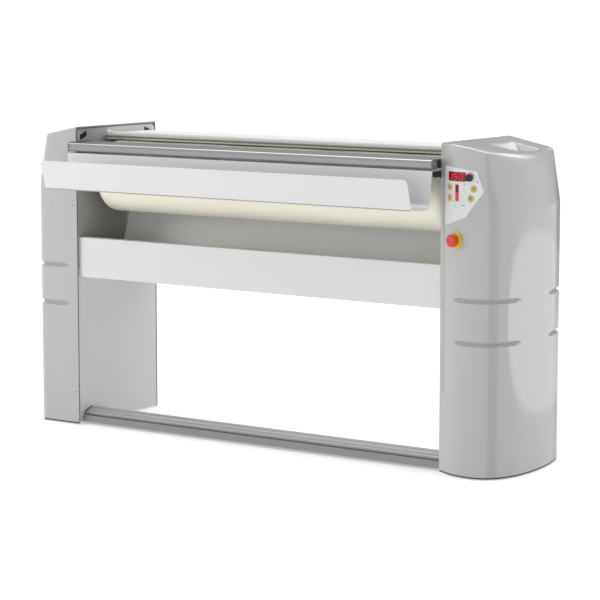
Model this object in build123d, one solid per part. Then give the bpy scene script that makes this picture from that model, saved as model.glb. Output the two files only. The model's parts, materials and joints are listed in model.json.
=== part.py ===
from build123d import *
import os
from math import atan, atan2, cos, degrees, hypot, pi, radians, sin, tan

# Flatwork ironer with one padded roller between two columns, a heated chest
# behind the roller, a pedal bar and a finger guard. Millimetres. X runs to the
# right along the roller, Y to the back, Z up from the floor. While modelling,
# Y = 0 is the right column's front edge and X = 0 the middle of the length.
# Pieces that repeat at both ends are drawn once in u, the distance outwards
# from a column's inner face, so the room between the columns has negative u.

os.makedirs("parts", exist_ok=True)

# Columns
roller_length = 1400.0
end_gap = 43.0
gap = roller_length + 2 * end_gap
left_width = 180.0
right_width = 252.0
left_front = -12.0
column_back = 440.0
shell_bottom = 8.0
shell_top = 1058.0
cover_wall = 5.0
top_slope = 11.6
taper_start = shell_top - 200.0
taper_lean = 11.15
shoulder_radius = 28.0
top_edge_radius = 14.0
left_corner = 28.0
front_bulge = 47.0
side_peak = 150.0
side_lean = 17.0
back_corner = 80.0
groove_levels = (568.0, 432.0)
groove_height = 14.0
groove_depth = 6.0
tray_size = (118.0, 190.0)
tray_centre = (116.0, 249.0)
tray_depth = 18.0
plate_wall = 3.0
plate_flange = 18.0
plate_corner = 26.0
seat_clear = 0.2
base_wall = 4.0
foot_radius = 22.0
foot_height = 6.0
stud_radius = 6.0
foot_rows = (60.0, 370.0)

# Roller and its drive
axle = (163.0, shell_top - 178.0)
roller_radius = 125.0
padding_wall = 10.0
tube_wall = 6.0
disc_wall = 12.0
shaft_radius = 17.5
shaft_fit = 0.05
bearing_side = 100.0
bearing_flange = 14.0
bearing_depth = 38.0
bearing_hub = 38.0
bracket_stand = 52.0
bracket_wall = 8.0
gear_size = (80.0, 126.0, 130.0)
motor_radius = 60.0
motor_length = 230.0

# Heated chest
nip_closed = 1.5
chest_wall = 13.5
chest_low = -62.0
chest_high = 72.0
chest_end_clear = 12.0
lip_height = 13.0
heater_radius = 5.0
heater_angles = (-45.0, -25.0, -5.0, 15.0, 35.0)
lagging_wall = 12.0
lagging_span = (-52.0, 44.0)
jacket_wall = 1.5
chest_pivot = (235.0, axle[1] - 232.0)
trunnion = (300.0, axle[1] - 30.0)
trunnion_side = 30.0
lever_reach = 110.0
arm_place = 15.0
arm_wall = 10.0
pivot_pin = 10.0
pivot_fit = 0.05
rod_radius = 6.0
rod_gap = 0.3

# Pedal
pedal_pivot = (230.0, 68.0)
pedal_travel = 2.2
pedal_shaft_at = (44.0, 43.0)
pedal_shaft_radius = 7.0
pedal_front = (21.0, 43.0)
pedal_back = (61.0, 58.0)
pedal_wall = 3.0
pedal_cap_wall = 3.0
channel_front = 8.0
channel_back = 64.0
channel_height = 26.0
channel_wall = 3.0

# Finger guard
guard_front = -56.0
guard_depth = 32.0
guard_low = axle[1] + 95.5
guard_height = 30.5
guard_wall = 2.5
guard_shelf_back = 45.0
guard_pivot = (-14.0, guard_low + 17.5)
guard_pin = 4.0
guard_lift = 12.0
end_clear = 0.6

# Feed trough, return slide, panels and hood
trough_wall = 2.0
trough_back = guard_low - 4.5
trough_floor = guard_low - 125.5
trough_path = ((40.0, trough_back), (-54.0, trough_back), (-72.0, trough_floor),
               (-176.0, trough_floor + 6), (-202.0, trough_floor + 102))
trough_radii = (4.0, 24.0, 4.0)
lip_corner = 15.0
panel_wall = 1.5
panel_low = axle[1] - 351.0
panel_high = panel_low + 141.0
slide_floor = panel_low + 2 * panel_wall + 0.1
slide_top = panel_low + 223.0
slide_path = ((292.0, slide_top), (249.0, slide_top - 110), (212.0, slide_floor), (12.0, slide_floor))
hood_wall = 2.0
hood_front = 157.0
hood_top = axle[1] + roller_radius + 25.0
hood_under = hood_top - 12.0
hood_back = 436.0
hood_low = axle[1] - 180.0
back_panel_low = hood_low - 155.0
beam_size = (40.0, 60.0)
beam_place = (400.0, back_panel_low + 45.0)

# Controls, placed by u and height on the right column's front
control_height = shell_top - 136.0
overlay_corners = ((25, 66), (157, 55), (180, -11), (119, -91), (25, -124))
overlay_outline = [(u, control_height + z) for u, z in overlay_corners]
overlay_wall = 0.9
skin_clear = 0.2
display_box = (43.0, 118.0, control_height + 20, control_height + 49)
level_box = (76.0, 90.0, control_height - 42, control_height + 10)
key_radius = 9.5
key_clear = 0.3
key_travel = 1.0
key_places = {
    "key_plus": (50.0, control_height),
    "key_minus": (50.0, control_height - 34),
    "key_start": (147.0, control_height - 1),
    "key_stop": (137.0, control_height - 31),
}
knob_place = (134.0, control_height + 33)
knob_radius = 11.0
lamp_place = (113.0, control_height + 12)
stop_place = (82.0, control_height - 166)
stop_base_radius = 26.0
stop_cap_radius = 20.0
stop_stem_radius = 11.0
stop_travel = 6.0
gland_place = (120.0, 120.0)
gland_bore = 8.0

length = left_width + gap + right_width
front_lead = Vector(60, -32).normalized()
x_left = left_width - length / 2
x_right = x_left + gap
chest_travel = degrees(atan((pedal_pivot[0] - chest_pivot[0] - lever_reach)
                            * tan(radians(pedal_travel)) / -lever_reach))
nodes = {}


# ---------------------------------------------------------------- helpers
def right(shape):
    return Pos(x_right, 0, 0) * shape


def left(shape):
    return Pos(x_left, 0, 0) * mirror(shape, about=Plane.YZ)


def pair(shape):
    return [right(shape), left(shape)]


def keep(name, shapes):
    """One node: a single solid, or a group of separate solids."""
    found = []
    for shape in shapes if isinstance(shapes, (list, tuple)) else [shapes]:
        found += shape.solids()
    nodes[name] = found[0] if len(found) == 1 else Compound(found)


def slab(section, u0, u1):
    """A Y-Z section stretched from u0 to u1."""
    return extrude(Plane.YZ.offset(u0) * section, amount=u1 - u0, dir=(1, 0, 0))


def rod(centre, radius, u0, u1):
    return slab(Pos(*centre) * Circle(radius), u0, u1)


def block(y0, y1, z0, z1, u0, u1, corner=0):
    section = RectangleRounded(y1 - y0, z1 - z0, corner) if corner else Rectangle(y1 - y0, z1 - z0)
    return slab(Pos((y0 + y1) / 2, (z0 + z1) / 2) * section, u0, u1)


def link(p, rp, q, rq):
    """The outline of a bar with round ends about p and q."""
    turn = atan2(q[1] - p[1], q[0] - p[0])
    lean = (rp - rq) / hypot(q[0] - p[0], q[1] - p[1])
    side = pi / 2 - atan2(lean, (1 - lean ** 2) ** 0.5)
    corners = [(c[0] + r * cos(turn + s * side), c[1] + r * sin(turn + s * side))
               for c, r, s in ((p, rp, 1), (p, rp, -1), (q, rq, -1), (q, rq, 1))]
    return Polygon(*corners, align=None) + Pos(*p) * Circle(rp) + Pos(*q) * Circle(rq)


def sheet(points, wall, radii, u0, u1):
    """Bent sheet metal: the path is one face, the wall grows to its left."""
    points = [Vector(*p) for p in points]
    runs = [(b - a).normalized() for a, b in zip(points, points[1:])]
    normals = [Vector(-r.Y, r.X) for r in runs]
    other = [points[0] + normals[0] * wall]
    other_radii = []
    for point, before, after, n0, n1, radius in zip(points[1:], runs, runs[1:], normals, normals[1:], radii):
        mitre = (n0 + n1).normalized()
        other.append(point + mitre * (wall / mitre.dot(n0)))
        turns_left = before.X * after.Y - before.Y * after.X > 0
        other_radii.append(radius - wall if turns_left else radius + wall)
    other.append(points[-1] + normals[-1] * wall)
    face = FilletPolyline(*points, radius=list(radii))
    back = FilletPolyline(*other, radius=other_radii)
    ends = [Line(points[0], other[0]), Line(points[-1], other[-1])]
    return slab(make_face([face, back, *ends]), u0, u1)


def ring_sector(inner, outer, low, high, centre=axle):
    """A Y-Z ring sector about the roller's axis, between two angles in degrees."""
    def at(radius, angle):
        return (centre[0] + radius * cos(radians(angle)), centre[1] + radius * sin(radians(angle)))
    middle = (low + high) / 2
    arcs = [ThreePointArc(at(r, low), at(r, middle), at(r, high)) for r in (inner, outer)]
    ends = [Line(at(inner, a), at(outer, a)) for a in (low, high)]
    return make_face([*arcs, *ends])


def opened(shape):
    """The chest swung back from the roller about its pivots, as it rests."""
    pivot = Pos(0, *chest_pivot)
    return pivot * Rot(-chest_travel, 0, 0) * pivot.inverse() * shape


# ---------------------------------------------------------------- columns
def inset_curve(curve, inset, steps=18):
    """The plan curve moved inwards by the inset, or outwards where that is negative."""
    points = []
    for i in range(steps + 1):
        along = curve.tangent_at(i / steps)
        points.append(curve.position_at(i / steps) + Vector(-along.Y, along.X) * inset)
    return Spline(*points, tangents=(curve.tangent_at(0), curve.tangent_at(1)), tangent_scalars=(1, 1))


def bulging_curve():
    """Plan of the right column's front and side, up to the back corner's arc."""
    w, b = right_width, front_bulge
    side_end = (w - 34, column_back - back_corner * (1 - sin(radians(side_lean))))
    run_out = (-sin(radians(side_lean)), cos(radians(side_lean)))
    points = ((0, 0), (60, -32), (125, -b), (w - 64, 13 - b), (w - 26, 12), (w, side_peak), side_end)
    return Spline(*points, tangents=(front_lead, run_out), tangent_scalars=(1, 1))


def right_outline(run_in=0.0, inset=0.0):
    """Plan of the right column, round the bulging front, the side and the back corner."""
    curve = bulging_curve()
    if inset:
        curve = inset_curve(curve, inset)
    first, last = curve.position_at(0), curve.position_at(1)
    corner = JernArc(start=last, tangent=curve.tangent_at(1), radius=back_corner - inset,
                     arc_size=90 - side_lean)
    start = first - front_lead * (first.X + run_in) / front_lead.X
    tail = corner.position_at(1)
    edges = [curve, corner, Line(tail, (start.X, tail.Y)), Line((start.X, tail.Y), start)]
    if (start - first).length > 0.001:
        edges.append(Line(start, first))
    return make_face(edges), Wire([curve, corner])


def left_outline(run_in=0.0, inset=0.0):
    """Plan of the left column: flat front, a tight front corner and a rounder one at the back."""
    w, f, back = left_width - inset, left_front + inset, column_back - inset
    c, d = left_corner - inset, 2 * left_corner - inset
    corner = RadiusArc((w - c, f), (w, f + c), -c)
    side = Line((w, f + c), (w, back - d))
    tail = RadiusArc((w, back - d), (w - d, back), -d)
    front = Line((-run_in, f), (w - c, f))
    closing = [Line((w - d, back), (-run_in, back)), Line((-run_in, back), (-run_in, f))]
    return make_face([front, corner, side, tail, *closing]), Wire([front, corner, side, tail])


def shoulder(width, inset, low):
    """The u-Z outline that slopes the top and tapers the outer side."""
    drop, lean = tan(radians(top_slope)), tan(radians(taper_lean))
    top = shell_top - inset / cos(radians(top_slope))
    side = width - inset / cos(radians(taper_lean))
    z = (top - side * drop - taper_start * lean * drop) / (1 - lean * drop)
    u = side - (z - taper_start) * lean
    reach = 12.0
    points = ((-30, low), (width + reach, low), (width + reach, taper_start - (width + reach - side) / lean),
              (u, z), (-30, top + 30 * drop))
    outline = Polygon(*points, align=None)
    corner = outline.vertices().sort_by_distance(Vector(u, z, 0))[0]
    return extrude(Plane.XZ * fillet(corner, shoulder_radius - inset), amount=column_back + 300, both=True)


def column_body(outline_of, width, inset, low, run_in=0.0):
    prism = extrude(Pos(0, 0, low) * outline_of(run_in, inset)[0], amount=shell_top + 40 - low)
    return prism & shoulder(width, inset, low - 5)


def groove(curve, start, end, level, depth):
    """A cutter for one groove that follows the plan curve and runs out at both ends."""
    steps = 8
    inner, outer = [], []
    for i in range(steps + 1):
        t = start + (end - start) * i / steps
        p, along = curve.position_at(t), curve.tangent_at(t)
        inward = Vector(-along.Y, along.X)
        inner.append(p + inward * depth * min(1.0, 1.6 * sin(pi * i / steps)))
        outer.append(p - inward * 30)
    edges = [Spline(*inner), Polyline(*outer), Line(inner[0], outer[0]), Line(inner[-1], outer[-1])]
    seat = Pos(0, 0, level - groove_height / 2)
    return extrude(seat * make_face(edges), amount=groove_height, dir=(0, 0, 1))


def crown_round(body, edges):
    """Rounds the crown; some radii fail on its freeform edge, so near ones are tried in turn."""
    for share in (1.0, 1.08, 0.92, 1.28, 0.8, 0.6):
        try:
            rounded = fillet(edges, top_edge_radius * share)
        except Exception:
            continue
        if rounded.is_valid and rounded.volume < body.volume:
            return rounded
    return body


def column_cover(outline_of, width, spans):
    """The moulded cover: open inwards and below, with grooves and thicker wall behind them."""
    curve = outline_of()[1]
    outer = column_body(outline_of, width, 0, shell_bottom)
    crown = [e for e in outer.edges() if e.center().Z > shell_top - right_width * 0.3 and e.length > 60
             and abs(e.center().X) > 1 and e.center().X < width - 40]
    outer = crown_round(outer, crown)
    inner = column_body(outline_of, width, cover_wall, shell_bottom - 4, 10.0)
    for level in groove_levels:
        ring = outline_of(10.0)[0] - outline_of(20.0, cover_wall + groove_depth)[0]
        band = extrude(ring, amount=2 * groove_height)
        band &= block(-column_back, 2 * column_back, -1, 3 * groove_height,
                      plate_wall + plate_flange + 4, 2 * right_width)
        inner -= Pos(0, 0, level - groove_height) * band
        for start, end in spans:
            outer -= groove(curve, start, end, level, groove_depth)
    return outer, inner


def tray_cut(grow):
    """The dished tray in the right column's sloping top."""
    u, y = tray_centre
    height = shell_top - u * tan(radians(top_slope))
    seat = Pos(u, y, height) * Rot(0, top_slope, 0)
    mouth = RectangleRounded(tray_size[0] + 2 * grow, tray_size[1] + 2 * grow, 22 + grow)
    floor = RectangleRounded(tray_size[0] - 26 + 2 * grow, tray_size[1] - 26 + 2 * grow, 14 + grow)
    return seat * loft([Pos(0, 0, 6) * mouth, Pos(0, 0, -tray_depth - grow) * floor])


def side_plate(front):
    """A flanged steel plate: it closes the column inwards and carries the works."""
    y0, y1 = front + seat_clear, column_back - cover_wall - seat_clear
    slope = radians(top_slope)
    z0 = shell_bottom + base_wall
    z1 = shell_top - cover_wall / cos(slope) - plate_wall * tan(slope) - seat_clear
    middle = ((y0 + y1) / 2, (z0 + z1) / 2)
    outline = Pos(*middle) * Rectangle(y1 - y0, z1 - z0)
    top_back = outline.vertices().sort_by_distance(Vector(y1, z1, 0))[0]
    outline = fillet(top_back, plate_corner)
    plate = slab(outline, 0, plate_wall)
    inside = offset(outline, -plate_wall, kind=Kind.INTERSECTION)
    rim = slab(outline - inside, plate_wall, plate_wall + plate_flange)
    open_top = block(y0 - 1, y1 + 1, z1 - plate_corner - 2, z1 + 1, plate_wall, plate_wall + plate_flange + 1)
    plate += rim - open_top
    plate -= rod(axle, shaft_radius + 12, -1, plate_wall + 1)
    plate -= chest_window(0)
    plate -= block(pedal_shaft_at[0] - 12, pedal_shaft_at[0] + 12, pedal_shaft_at[1] - 18,
                   pedal_shaft_at[1] + 10, -1, plate_wall + 1, 6)
    for outline in vent_outlines(0):
        plate -= slab(outline, -1, plate_wall + 1)
    return plate


def chest_window(grow):
    reach = trunnion[1] - chest_pivot[1]
    swing = reach * sin(radians(chest_travel))
    half = trunnion_side / 2 + 5 + grow
    return block(trunnion[0] - half - swing, trunnion[0] + half, trunnion[1] - half,
                 trunnion[1] + half + 2, -1, plate_wall + 1, 5)


def vent_outlines(inset):
    """Two slanted vent openings near the plate's top, mirror images front and back."""
    front = [(y, shell_top - down) for y, down in ((11, 48), (47, 34), (47, 15), (11, 29))]
    back = [(column_back - 18 - y, z) for y, z in front]
    return [offset(Polygon(*points, align=None), -inset) if inset else Polygon(*points, align=None)
            for points in (front, back)]


def vent_grille(outline, frame_outline):
    """A black insert: a frame in the opening with slanted bars across it."""
    grille = slab(frame_outline - offset(frame_outline, -2.5), -0.4, plate_wall + 2)
    box = frame_outline.bounding_box()
    for i in range(5):
        y = box.min.X + (i + 0.7) * box.size.X / 5.4
        bar = Pos(y, box.center().Y) * Rot(0, 0, 28) * Rectangle(2.2, 2 * box.size.Y)
        grille += slab(bar & frame_outline, 0, plate_wall)
    return grille


right_spans = ((0.10, 0.455), (0.72, 0.97))
left_spans = ((0.10, 0.42), (0.72, 0.93))
right_outer, right_inner = column_cover(right_outline, right_width, right_spans)
left_outer, left_inner = column_cover(left_outline, left_width, left_spans)
front_curve = bulging_curve()


def face_frame(u, z):
    """A frame on the right column's front: origin on the surface, z axis outwards."""
    low, high = 0.0, 0.5
    for _ in range(40):
        middle = (low + high) / 2
        low, high = (middle, high) if front_curve.position_at(middle).X < u else (low, middle)
    p, along = front_curve.position_at(low), front_curve.tangent_at(low)
    return Plane(origin=(p.X, p.Y, z), x_dir=(along.X, along.Y, 0), z_dir=(along.Y, -along.X, 0))


def on_face(place, shape):
    return face_frame(*place).location * shape


def drum(radius, low, high):
    """A round bar from height low to high above the surface."""
    return Pos(0, 0, low) * extrude(Circle(radius), amount=high - low)


cover = right_outer - (right_inner - tray_cut(cover_wall)) - tray_cut(0)
for notch in (125, 387):
    cover -= Pos(0, notch, shell_top) * Box(12, 8, 12)
for place in key_places.values():
    cover -= on_face(place, drum(key_radius + key_clear, -30, 20))
cover -= on_face(knob_place, drum(3.3, -30, 20))
cover -= on_face(stop_place, drum(stop_stem_radius + 0.6, -30, 20))
gland_hole = Pos(gland_place[0], column_back, gland_place[1]) * Rot(-90, 0, 0)
cover -= gland_hole * Pos(0, 0, -20) * extrude(Circle(gland_bore + 4), amount=40)
keep("right_column_cover", right(cover))
keep("left_column_cover", left(left_outer - left_inner))
keep("right_side_plate", right(side_plate(cover_wall / front_lead.X)))
keep("left_side_plate", left(side_plate(left_front + cover_wall)))

grilles = []
for opening, frame_outline in zip(vent_outlines(0), vent_outlines(seat_clear)):
    grilles += pair(vent_grille(opening, frame_outline))
keep("vent_grilles", grilles)


def base_tray(outline_of, width):
    plan = outline_of(0.0, cover_wall + seat_clear)[0]
    tray = extrude(Pos(0, 0, shell_bottom) * plan, amount=base_wall)
    for y in foot_rows:
        tray -= Pos(width / 2, y, 0) * Cylinder(stud_radius + 0.3, 60)
    return tray


def feet(width):
    made = []
    for y in foot_rows:
        pad = extrude(Circle(foot_radius), amount=foot_height)
        stud = extrude(Circle(stud_radius), amount=45)
        nut_low = Pos(0, 0, foot_height) * extrude(RegularPolygon(10, 6), amount=shell_bottom - foot_height)
        nut_high = Pos(0, 0, shell_bottom + base_wall) * extrude(RegularPolygon(10, 6), amount=8)
        made.append(Pos(width / 2, y, 0) * (pad + stud + nut_low + nut_high))
    return made


keep("base_trays", [right(base_tray(right_outline, right_width)), left(base_tray(left_outline, left_width))])
right_feet = [right(foot) for foot in feet(right_width)]
keep("levelling_feet", right_feet + [left(foot) for foot in feet(left_width)])

# ---------------------------------------------------------------- roller
core_radius = roller_radius - padding_wall
x_start, x_end = x_left + end_gap, x_right - end_gap


def along_roller(outer, inner, low, high):
    ring = Circle(outer) - Circle(inner) if inner else Circle(outer)
    return slab(Pos(*axle) * ring, low, high)


padding = along_roller(roller_radius, core_radius, x_start, x_end)
rims = padding.edges().filter_by(GeomType.CIRCLE).group_by(SortBy.RADIUS)[-1]
keep("roller_padding", chamfer(rims, 6))
keep("roller_tube", along_roller(core_radius - 0.1, core_radius - tube_wall, x_start + 1, x_end - 1))


def end_disc(u_out):
    """A dished end disc with a hub and lightening holes."""
    disc = along_roller(core_radius - tube_wall - 0.1, shaft_radius + shaft_fit, u_out - disc_wall, u_out)
    disc += along_roller(shaft_radius + 14, shaft_radius + shaft_fit, u_out - 3 * disc_wall, u_out + 4)
    for spoke in PolarLocations(68, 6):
        disc -= Pos(0, *axle) * Rot(0, 90, 0) * spoke * Cylinder(16, 400)
    return disc


disc_at = -(end_gap + 4)
keep("roller_end_discs", pair(end_disc(disc_at)))
gear_start = bracket_stand + bracket_wall
gear_end = gear_start + gear_size[0]


def stub_shaft(u_end):
    shaft = rod(axle, shaft_radius, disc_at - 3 * disc_wall, u_end)
    return chamfer(shaft.edges().filter_by(GeomType.CIRCLE), 2)


keep("roller_shafts", [right(stub_shaft(gear_end + 6)), left(stub_shaft(bearing_depth + 12))])


def bearing():
    """A flanged bearing unit on the plate's outer side, with four bolts."""
    flange = Pos(*axle) * RectangleRounded(bearing_side, bearing_side, 16)
    unit = slab(flange, plate_wall, plate_wall + bearing_flange)
    unit += rod(axle, bearing_hub, plate_wall, bearing_depth)
    unit -= rod(axle, shaft_radius + shaft_fit, 0, bearing_depth + 1)
    return unit


def bearing_bolts():
    reach = bearing_side / 2 - 15
    made = []
    for spot in GridLocations(2 * reach, 2 * reach, 2, 2):
        head = Plane.YZ.offset(plate_wall + bearing_flange) * Pos(*axle) * spot * RegularPolygon(9, 6)
        made.append(extrude(head, amount=7))
    return made


keep("roller_bearings", pair(bearing()))
keep("bearing_bolts", [solid for bolt in bearing_bolts() for solid in pair(bolt)])


def gear_bracket():
    """A bridge over the right bearing that holds the gearbox."""
    y0, y1 = axle[0] - bearing_side / 2 - 12, axle[0] + bearing_side / 2 + 12
    z0, z1 = axle[1] - 50, axle[1] + 50
    bridge = block(y0, y1, z0, z1, bracket_stand, bracket_stand + bracket_wall, 6)
    for y in (y0, y1 - 8):
        bridge += block(y, y + 8, z0, z1, plate_wall, bracket_stand)
    return bridge - rod(axle, shaft_radius + 6, bracket_stand - 1, bracket_stand + bracket_wall + 1)


def gearbox():
    """A worm gearbox on the shaft's end, its worm barrel to the front."""
    w, d, h = gear_size
    case = block(axle[0] - d / 2 + 8, axle[0] + d / 2, axle[1] - h / 2, axle[1] + h / 2,
                 gear_start, gear_end, 18)
    barrel_y = axle[0] - d / 2
    middle = (gear_start + gear_end) / 2
    case += Pos(middle, barrel_y, axle[1] - h / 2 - 6) * extrude(Circle(w / 2 - 4), amount=h + 12)
    case += Pos(middle, barrel_y, axle[1] - h / 2 - 6) * extrude(Circle(motor_radius - 6), amount=10)
    return case - rod(axle, shaft_radius + shaft_fit, gear_start - 1, gear_end + 1)


def motor():
    """A finned motor that hangs below the gearbox."""
    top = axle[1] - gear_size[2] / 2 - 6
    place = Pos((gear_start + gear_end) / 2, axle[0] - gear_size[1] / 2, top - motor_length)
    body = extrude(Circle(motor_radius - 6), amount=motor_length)
    fins = Circle(motor_radius) - Circle(motor_radius - 7)
    for spot in PolarLocations(motor_radius, 20):
        fins -= spot * Rectangle(14, 9)
    body += Pos(0, 0, 50) * extrude(fins, amount=motor_length - 90)
    body += extrude(Circle(motor_radius), amount=38)
    return place * body


keep("gearbox_bracket", right(gear_bracket()))
keep("gearbox", right(gearbox()))
keep("drive_motor", right(motor()))

# ---------------------------------------------------------------- chest
chest_inner = roller_radius + nip_closed
chest_outer = chest_inner + chest_wall
chest_u = -chest_end_clear
x_chest = (x_left + chest_end_clear, x_right - chest_end_clear)


def chest_casting():
    section = ring_sector(chest_inner, chest_outer, chest_low, chest_high)
    high = radians(chest_high)
    foot = (axle[0] + chest_inner * cos(high), axle[1] + chest_inner * sin(high))
    lip = Polygon(foot, (foot[0] + 7, foot[1] - 2.5), (foot[0] + 6, foot[1] + lip_height),
                  (foot[0] + 2, foot[1] + lip_height), align=None)
    body = slab(section + lip, *x_chest)
    for angle in (-57, 45 + 8):
        spot = radians(angle)
        rib_at = (axle[0] + chest_outer * cos(spot), axle[1] + chest_outer * sin(spot))
        body += slab(Pos(*rib_at) * Rot(0, 0, angle) * Rectangle(16, 8), *x_chest)
    return body


heater_ring = chest_outer + heater_radius + 0.1
lagging_inner = heater_ring + heater_radius + 0.1
lagging_outer = lagging_inner + lagging_wall
heaters = []
for angle in heater_angles:
    spot = (axle[0] + heater_ring * cos(radians(angle)), axle[1] + heater_ring * sin(radians(angle)))
    heaters.append(opened(rod(spot, heater_radius, x_chest[0] + 8, x_chest[1] - 8)))
keep("chest", opened(chest_casting()))
keep("chest_heaters", heaters)
keep("chest_lagging", opened(slab(ring_sector(lagging_inner, lagging_outer, *lagging_span), *x_chest)))
jacket = ring_sector(lagging_outer + 0.1, lagging_outer + 0.1 + jacket_wall, lagging_span[0], lagging_span[1])
for angle, sign in zip(lagging_span, (-1, 1)):
    jacket += ring_sector(chest_outer + 0.1, lagging_outer + 0.1 + jacket_wall,
                          *sorted((angle + sign * 0.1, angle + sign * 0.7)))
keep("chest_jacket", opened(slab(jacket, *x_chest)))


def chest_arm():
    """A side arm on its pivot pin: a square trunnion to the chest and a lever for the push rod."""
    u0, u1 = arm_place, arm_place + arm_wall
    lever_end = (chest_pivot[0] + lever_reach, chest_pivot[1])
    plate = link(chest_pivot, 24, trunnion, 24) + link(chest_pivot, 20, lever_end, 13)
    flat = Pos(lever_end[0], chest_pivot[1] - 20) * Rectangle(44, 24)
    arm = slab(plate - flat, u0, u1)
    arm += slab(Pos(*trunnion) * Rectangle(trunnion_side, trunnion_side), chest_u + 0.1, u1)
    return arm - rod(chest_pivot, pivot_pin + pivot_fit, u0 - 1, u1 + 1)


def pivot(centre, radius):
    """A shouldered pin on the side plate, with a cap that keeps the arm on."""
    pin = rod(centre, radius, plate_wall, arm_place + arm_wall + 8)
    pin += rod(centre, radius + 6, plate_wall, arm_place - 0.3)
    return pin + rod(centre, radius + 4, arm_place + arm_wall + 0.3, arm_place + arm_wall + 5)


keep("chest_arms", pair(chest_arm()))
keep("chest_pivots", pair(pivot(chest_pivot, pivot_pin)))

# ---------------------------------------------------------------- pedal
rod_y = chest_pivot[0] + lever_reach
rod_u = arm_place + arm_wall / 2
pedal_top = pedal_pivot[1] + 12
lever_under = chest_pivot[1] - 8


def pedal_arm():
    u0, u1 = arm_place, arm_place + arm_wall
    plate = link(pedal_pivot, 17, pedal_shaft_at, 13)
    plate += link(pedal_pivot, 17, (rod_y, pedal_pivot[1]), 14)
    plate -= Pos(rod_y, pedal_top + 10) * Rectangle(60, 20)
    arm = slab(plate, u0, u1)
    arm -= rod(pedal_pivot, pivot_pin + pivot_fit, u0 - 1, u1 + 1)
    return arm - rod(pedal_shaft_at, pedal_shaft_radius + 0.02, u0 - 1, u1 + 1)


def pedal_section():
    """A slanted tread with grip ribs and a barrel that holds the shaft."""
    rise = Vector(pedal_back[0] - pedal_front[0], pedal_back[1] - pedal_front[1])
    middle = (Vector(*pedal_front) + Vector(*pedal_back)) / 2
    tread = Pos(*middle) * Rot(0, 0, degrees(atan2(rise.Y, rise.X)))
    section = tread * RectangleRounded(rise.length, pedal_wall, pedal_wall / 2.1)
    for i in range(5):
        section += tread * Pos(-rise.length / 2 + 8 + i * 6, pedal_wall / 2) * Rectangle(2, 1.6)
    section += Pos(*pedal_shaft_at) * Circle(pedal_shaft_radius + 3.5)
    return section - Pos(*pedal_shaft_at) * Circle(pedal_shaft_radius + 0.02)


tread = pedal_section()
cap_out = 1.0
tread_end = -(cap_out + pedal_cap_wall)
keep("pedal_tread", slab(tread, x_left - tread_end, x_right + tread_end))
cap = offset(tread, 0.8) - Pos(*pedal_shaft_at) * Circle(pedal_shaft_radius + 0.02)
keep("pedal_end_caps", pair(slab(cap, tread_end, -cap_out)))
keep("pedal_shaft", rod(pedal_shaft_at, pedal_shaft_radius, x_left - arm_place - arm_wall - 3,
                        x_right + arm_place + arm_wall + 3))
keep("pedal_arms", pair(pedal_arm()))
keep("pedal_pivots", pair(pivot(pedal_pivot, pivot_pin)))


def push_rod():
    low, high = pedal_top + rod_gap, lever_under - rod_gap
    bar = extrude(Circle(rod_radius), amount=high - low)
    bar = chamfer(bar.edges().filter_by(GeomType.CIRCLE), 2)
    collar = Pos(0, 0, 30) * extrude(Circle(rod_radius + 4), amount=8)
    return Pos(rod_u, rod_y, low) * (bar + collar)


def rod_guides():
    made = []
    for z in (160.0, chest_pivot[1] - 88):
        eye = Box(rod_u + 12 - plate_wall, 30, 22, align=(Align.MIN, Align.CENTER, Align.MIN))
        eye -= Pos(rod_u - plate_wall, 0, 0) * Cylinder(rod_radius + 0.05, 80)
        made.append(Pos(plate_wall, rod_y, z) * fillet(eye.edges().filter_by(Axis.Z), 5))
    return made


keep("push_rods", pair(push_rod()))
keep("rod_guides", [solid for guide in rod_guides() for solid in pair(guide)])

channel_low = shell_bottom
channel_path = ((channel_front, channel_low + channel_height), (channel_front, channel_low),
                (channel_back, channel_low), (channel_back, channel_low + channel_height))
channel_radii = (channel_wall + 0.5, channel_wall + 0.5)
keep("foot_channel", sheet(channel_path, channel_wall, channel_radii, x_left, x_right))
beam = Rectangle(*beam_size) - Rectangle(beam_size[0] - 6, beam_size[1] - 6)
keep("tie_beam", slab(Pos(*beam_place) * beam, x_left, x_right))

# ---------------------------------------------------------------- finger guard
guard_top = guard_low + guard_height
guard_back = guard_front + guard_depth


def guard_section():
    """The guard's extruded profile: a hollow nose with a bevelled front and a shelf behind it."""
    nose = Polygon((guard_front, guard_low), (guard_back, guard_low), (guard_back, guard_top + 2),
                   (guard_front + 9, guard_top + 2), (guard_front, guard_top - 5), align=None)
    hollow = offset(nose, -guard_wall, kind=Kind.INTERSECTION)
    shelf = Polygon((guard_back - 1, guard_top - 0.5), (guard_shelf_back - 3, guard_top - 0.5),
                    (guard_shelf_back - 3, guard_top - 7), (guard_shelf_back, guard_top - 7),
                    (guard_shelf_back, guard_top + 2), (guard_back - 1, guard_top + 2), align=None)
    return nose - hollow + shelf


def guard_lug():
    lug = link(guard_pivot, 8, (guard_back - 1, guard_pivot[1]), 8)
    neck = Rectangle(guard_pivot[0] - guard_back + 4, 10)
    lug += Pos((guard_back + guard_pivot[0]) / 2, guard_top - 4) * neck
    lug -= Pos(guard_back - 10, guard_pivot[1]) * Rectangle(20, 40)
    return slab(lug, -16, -10) - rod(guard_pivot, guard_pin + pivot_fit, -20, -5)


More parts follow.
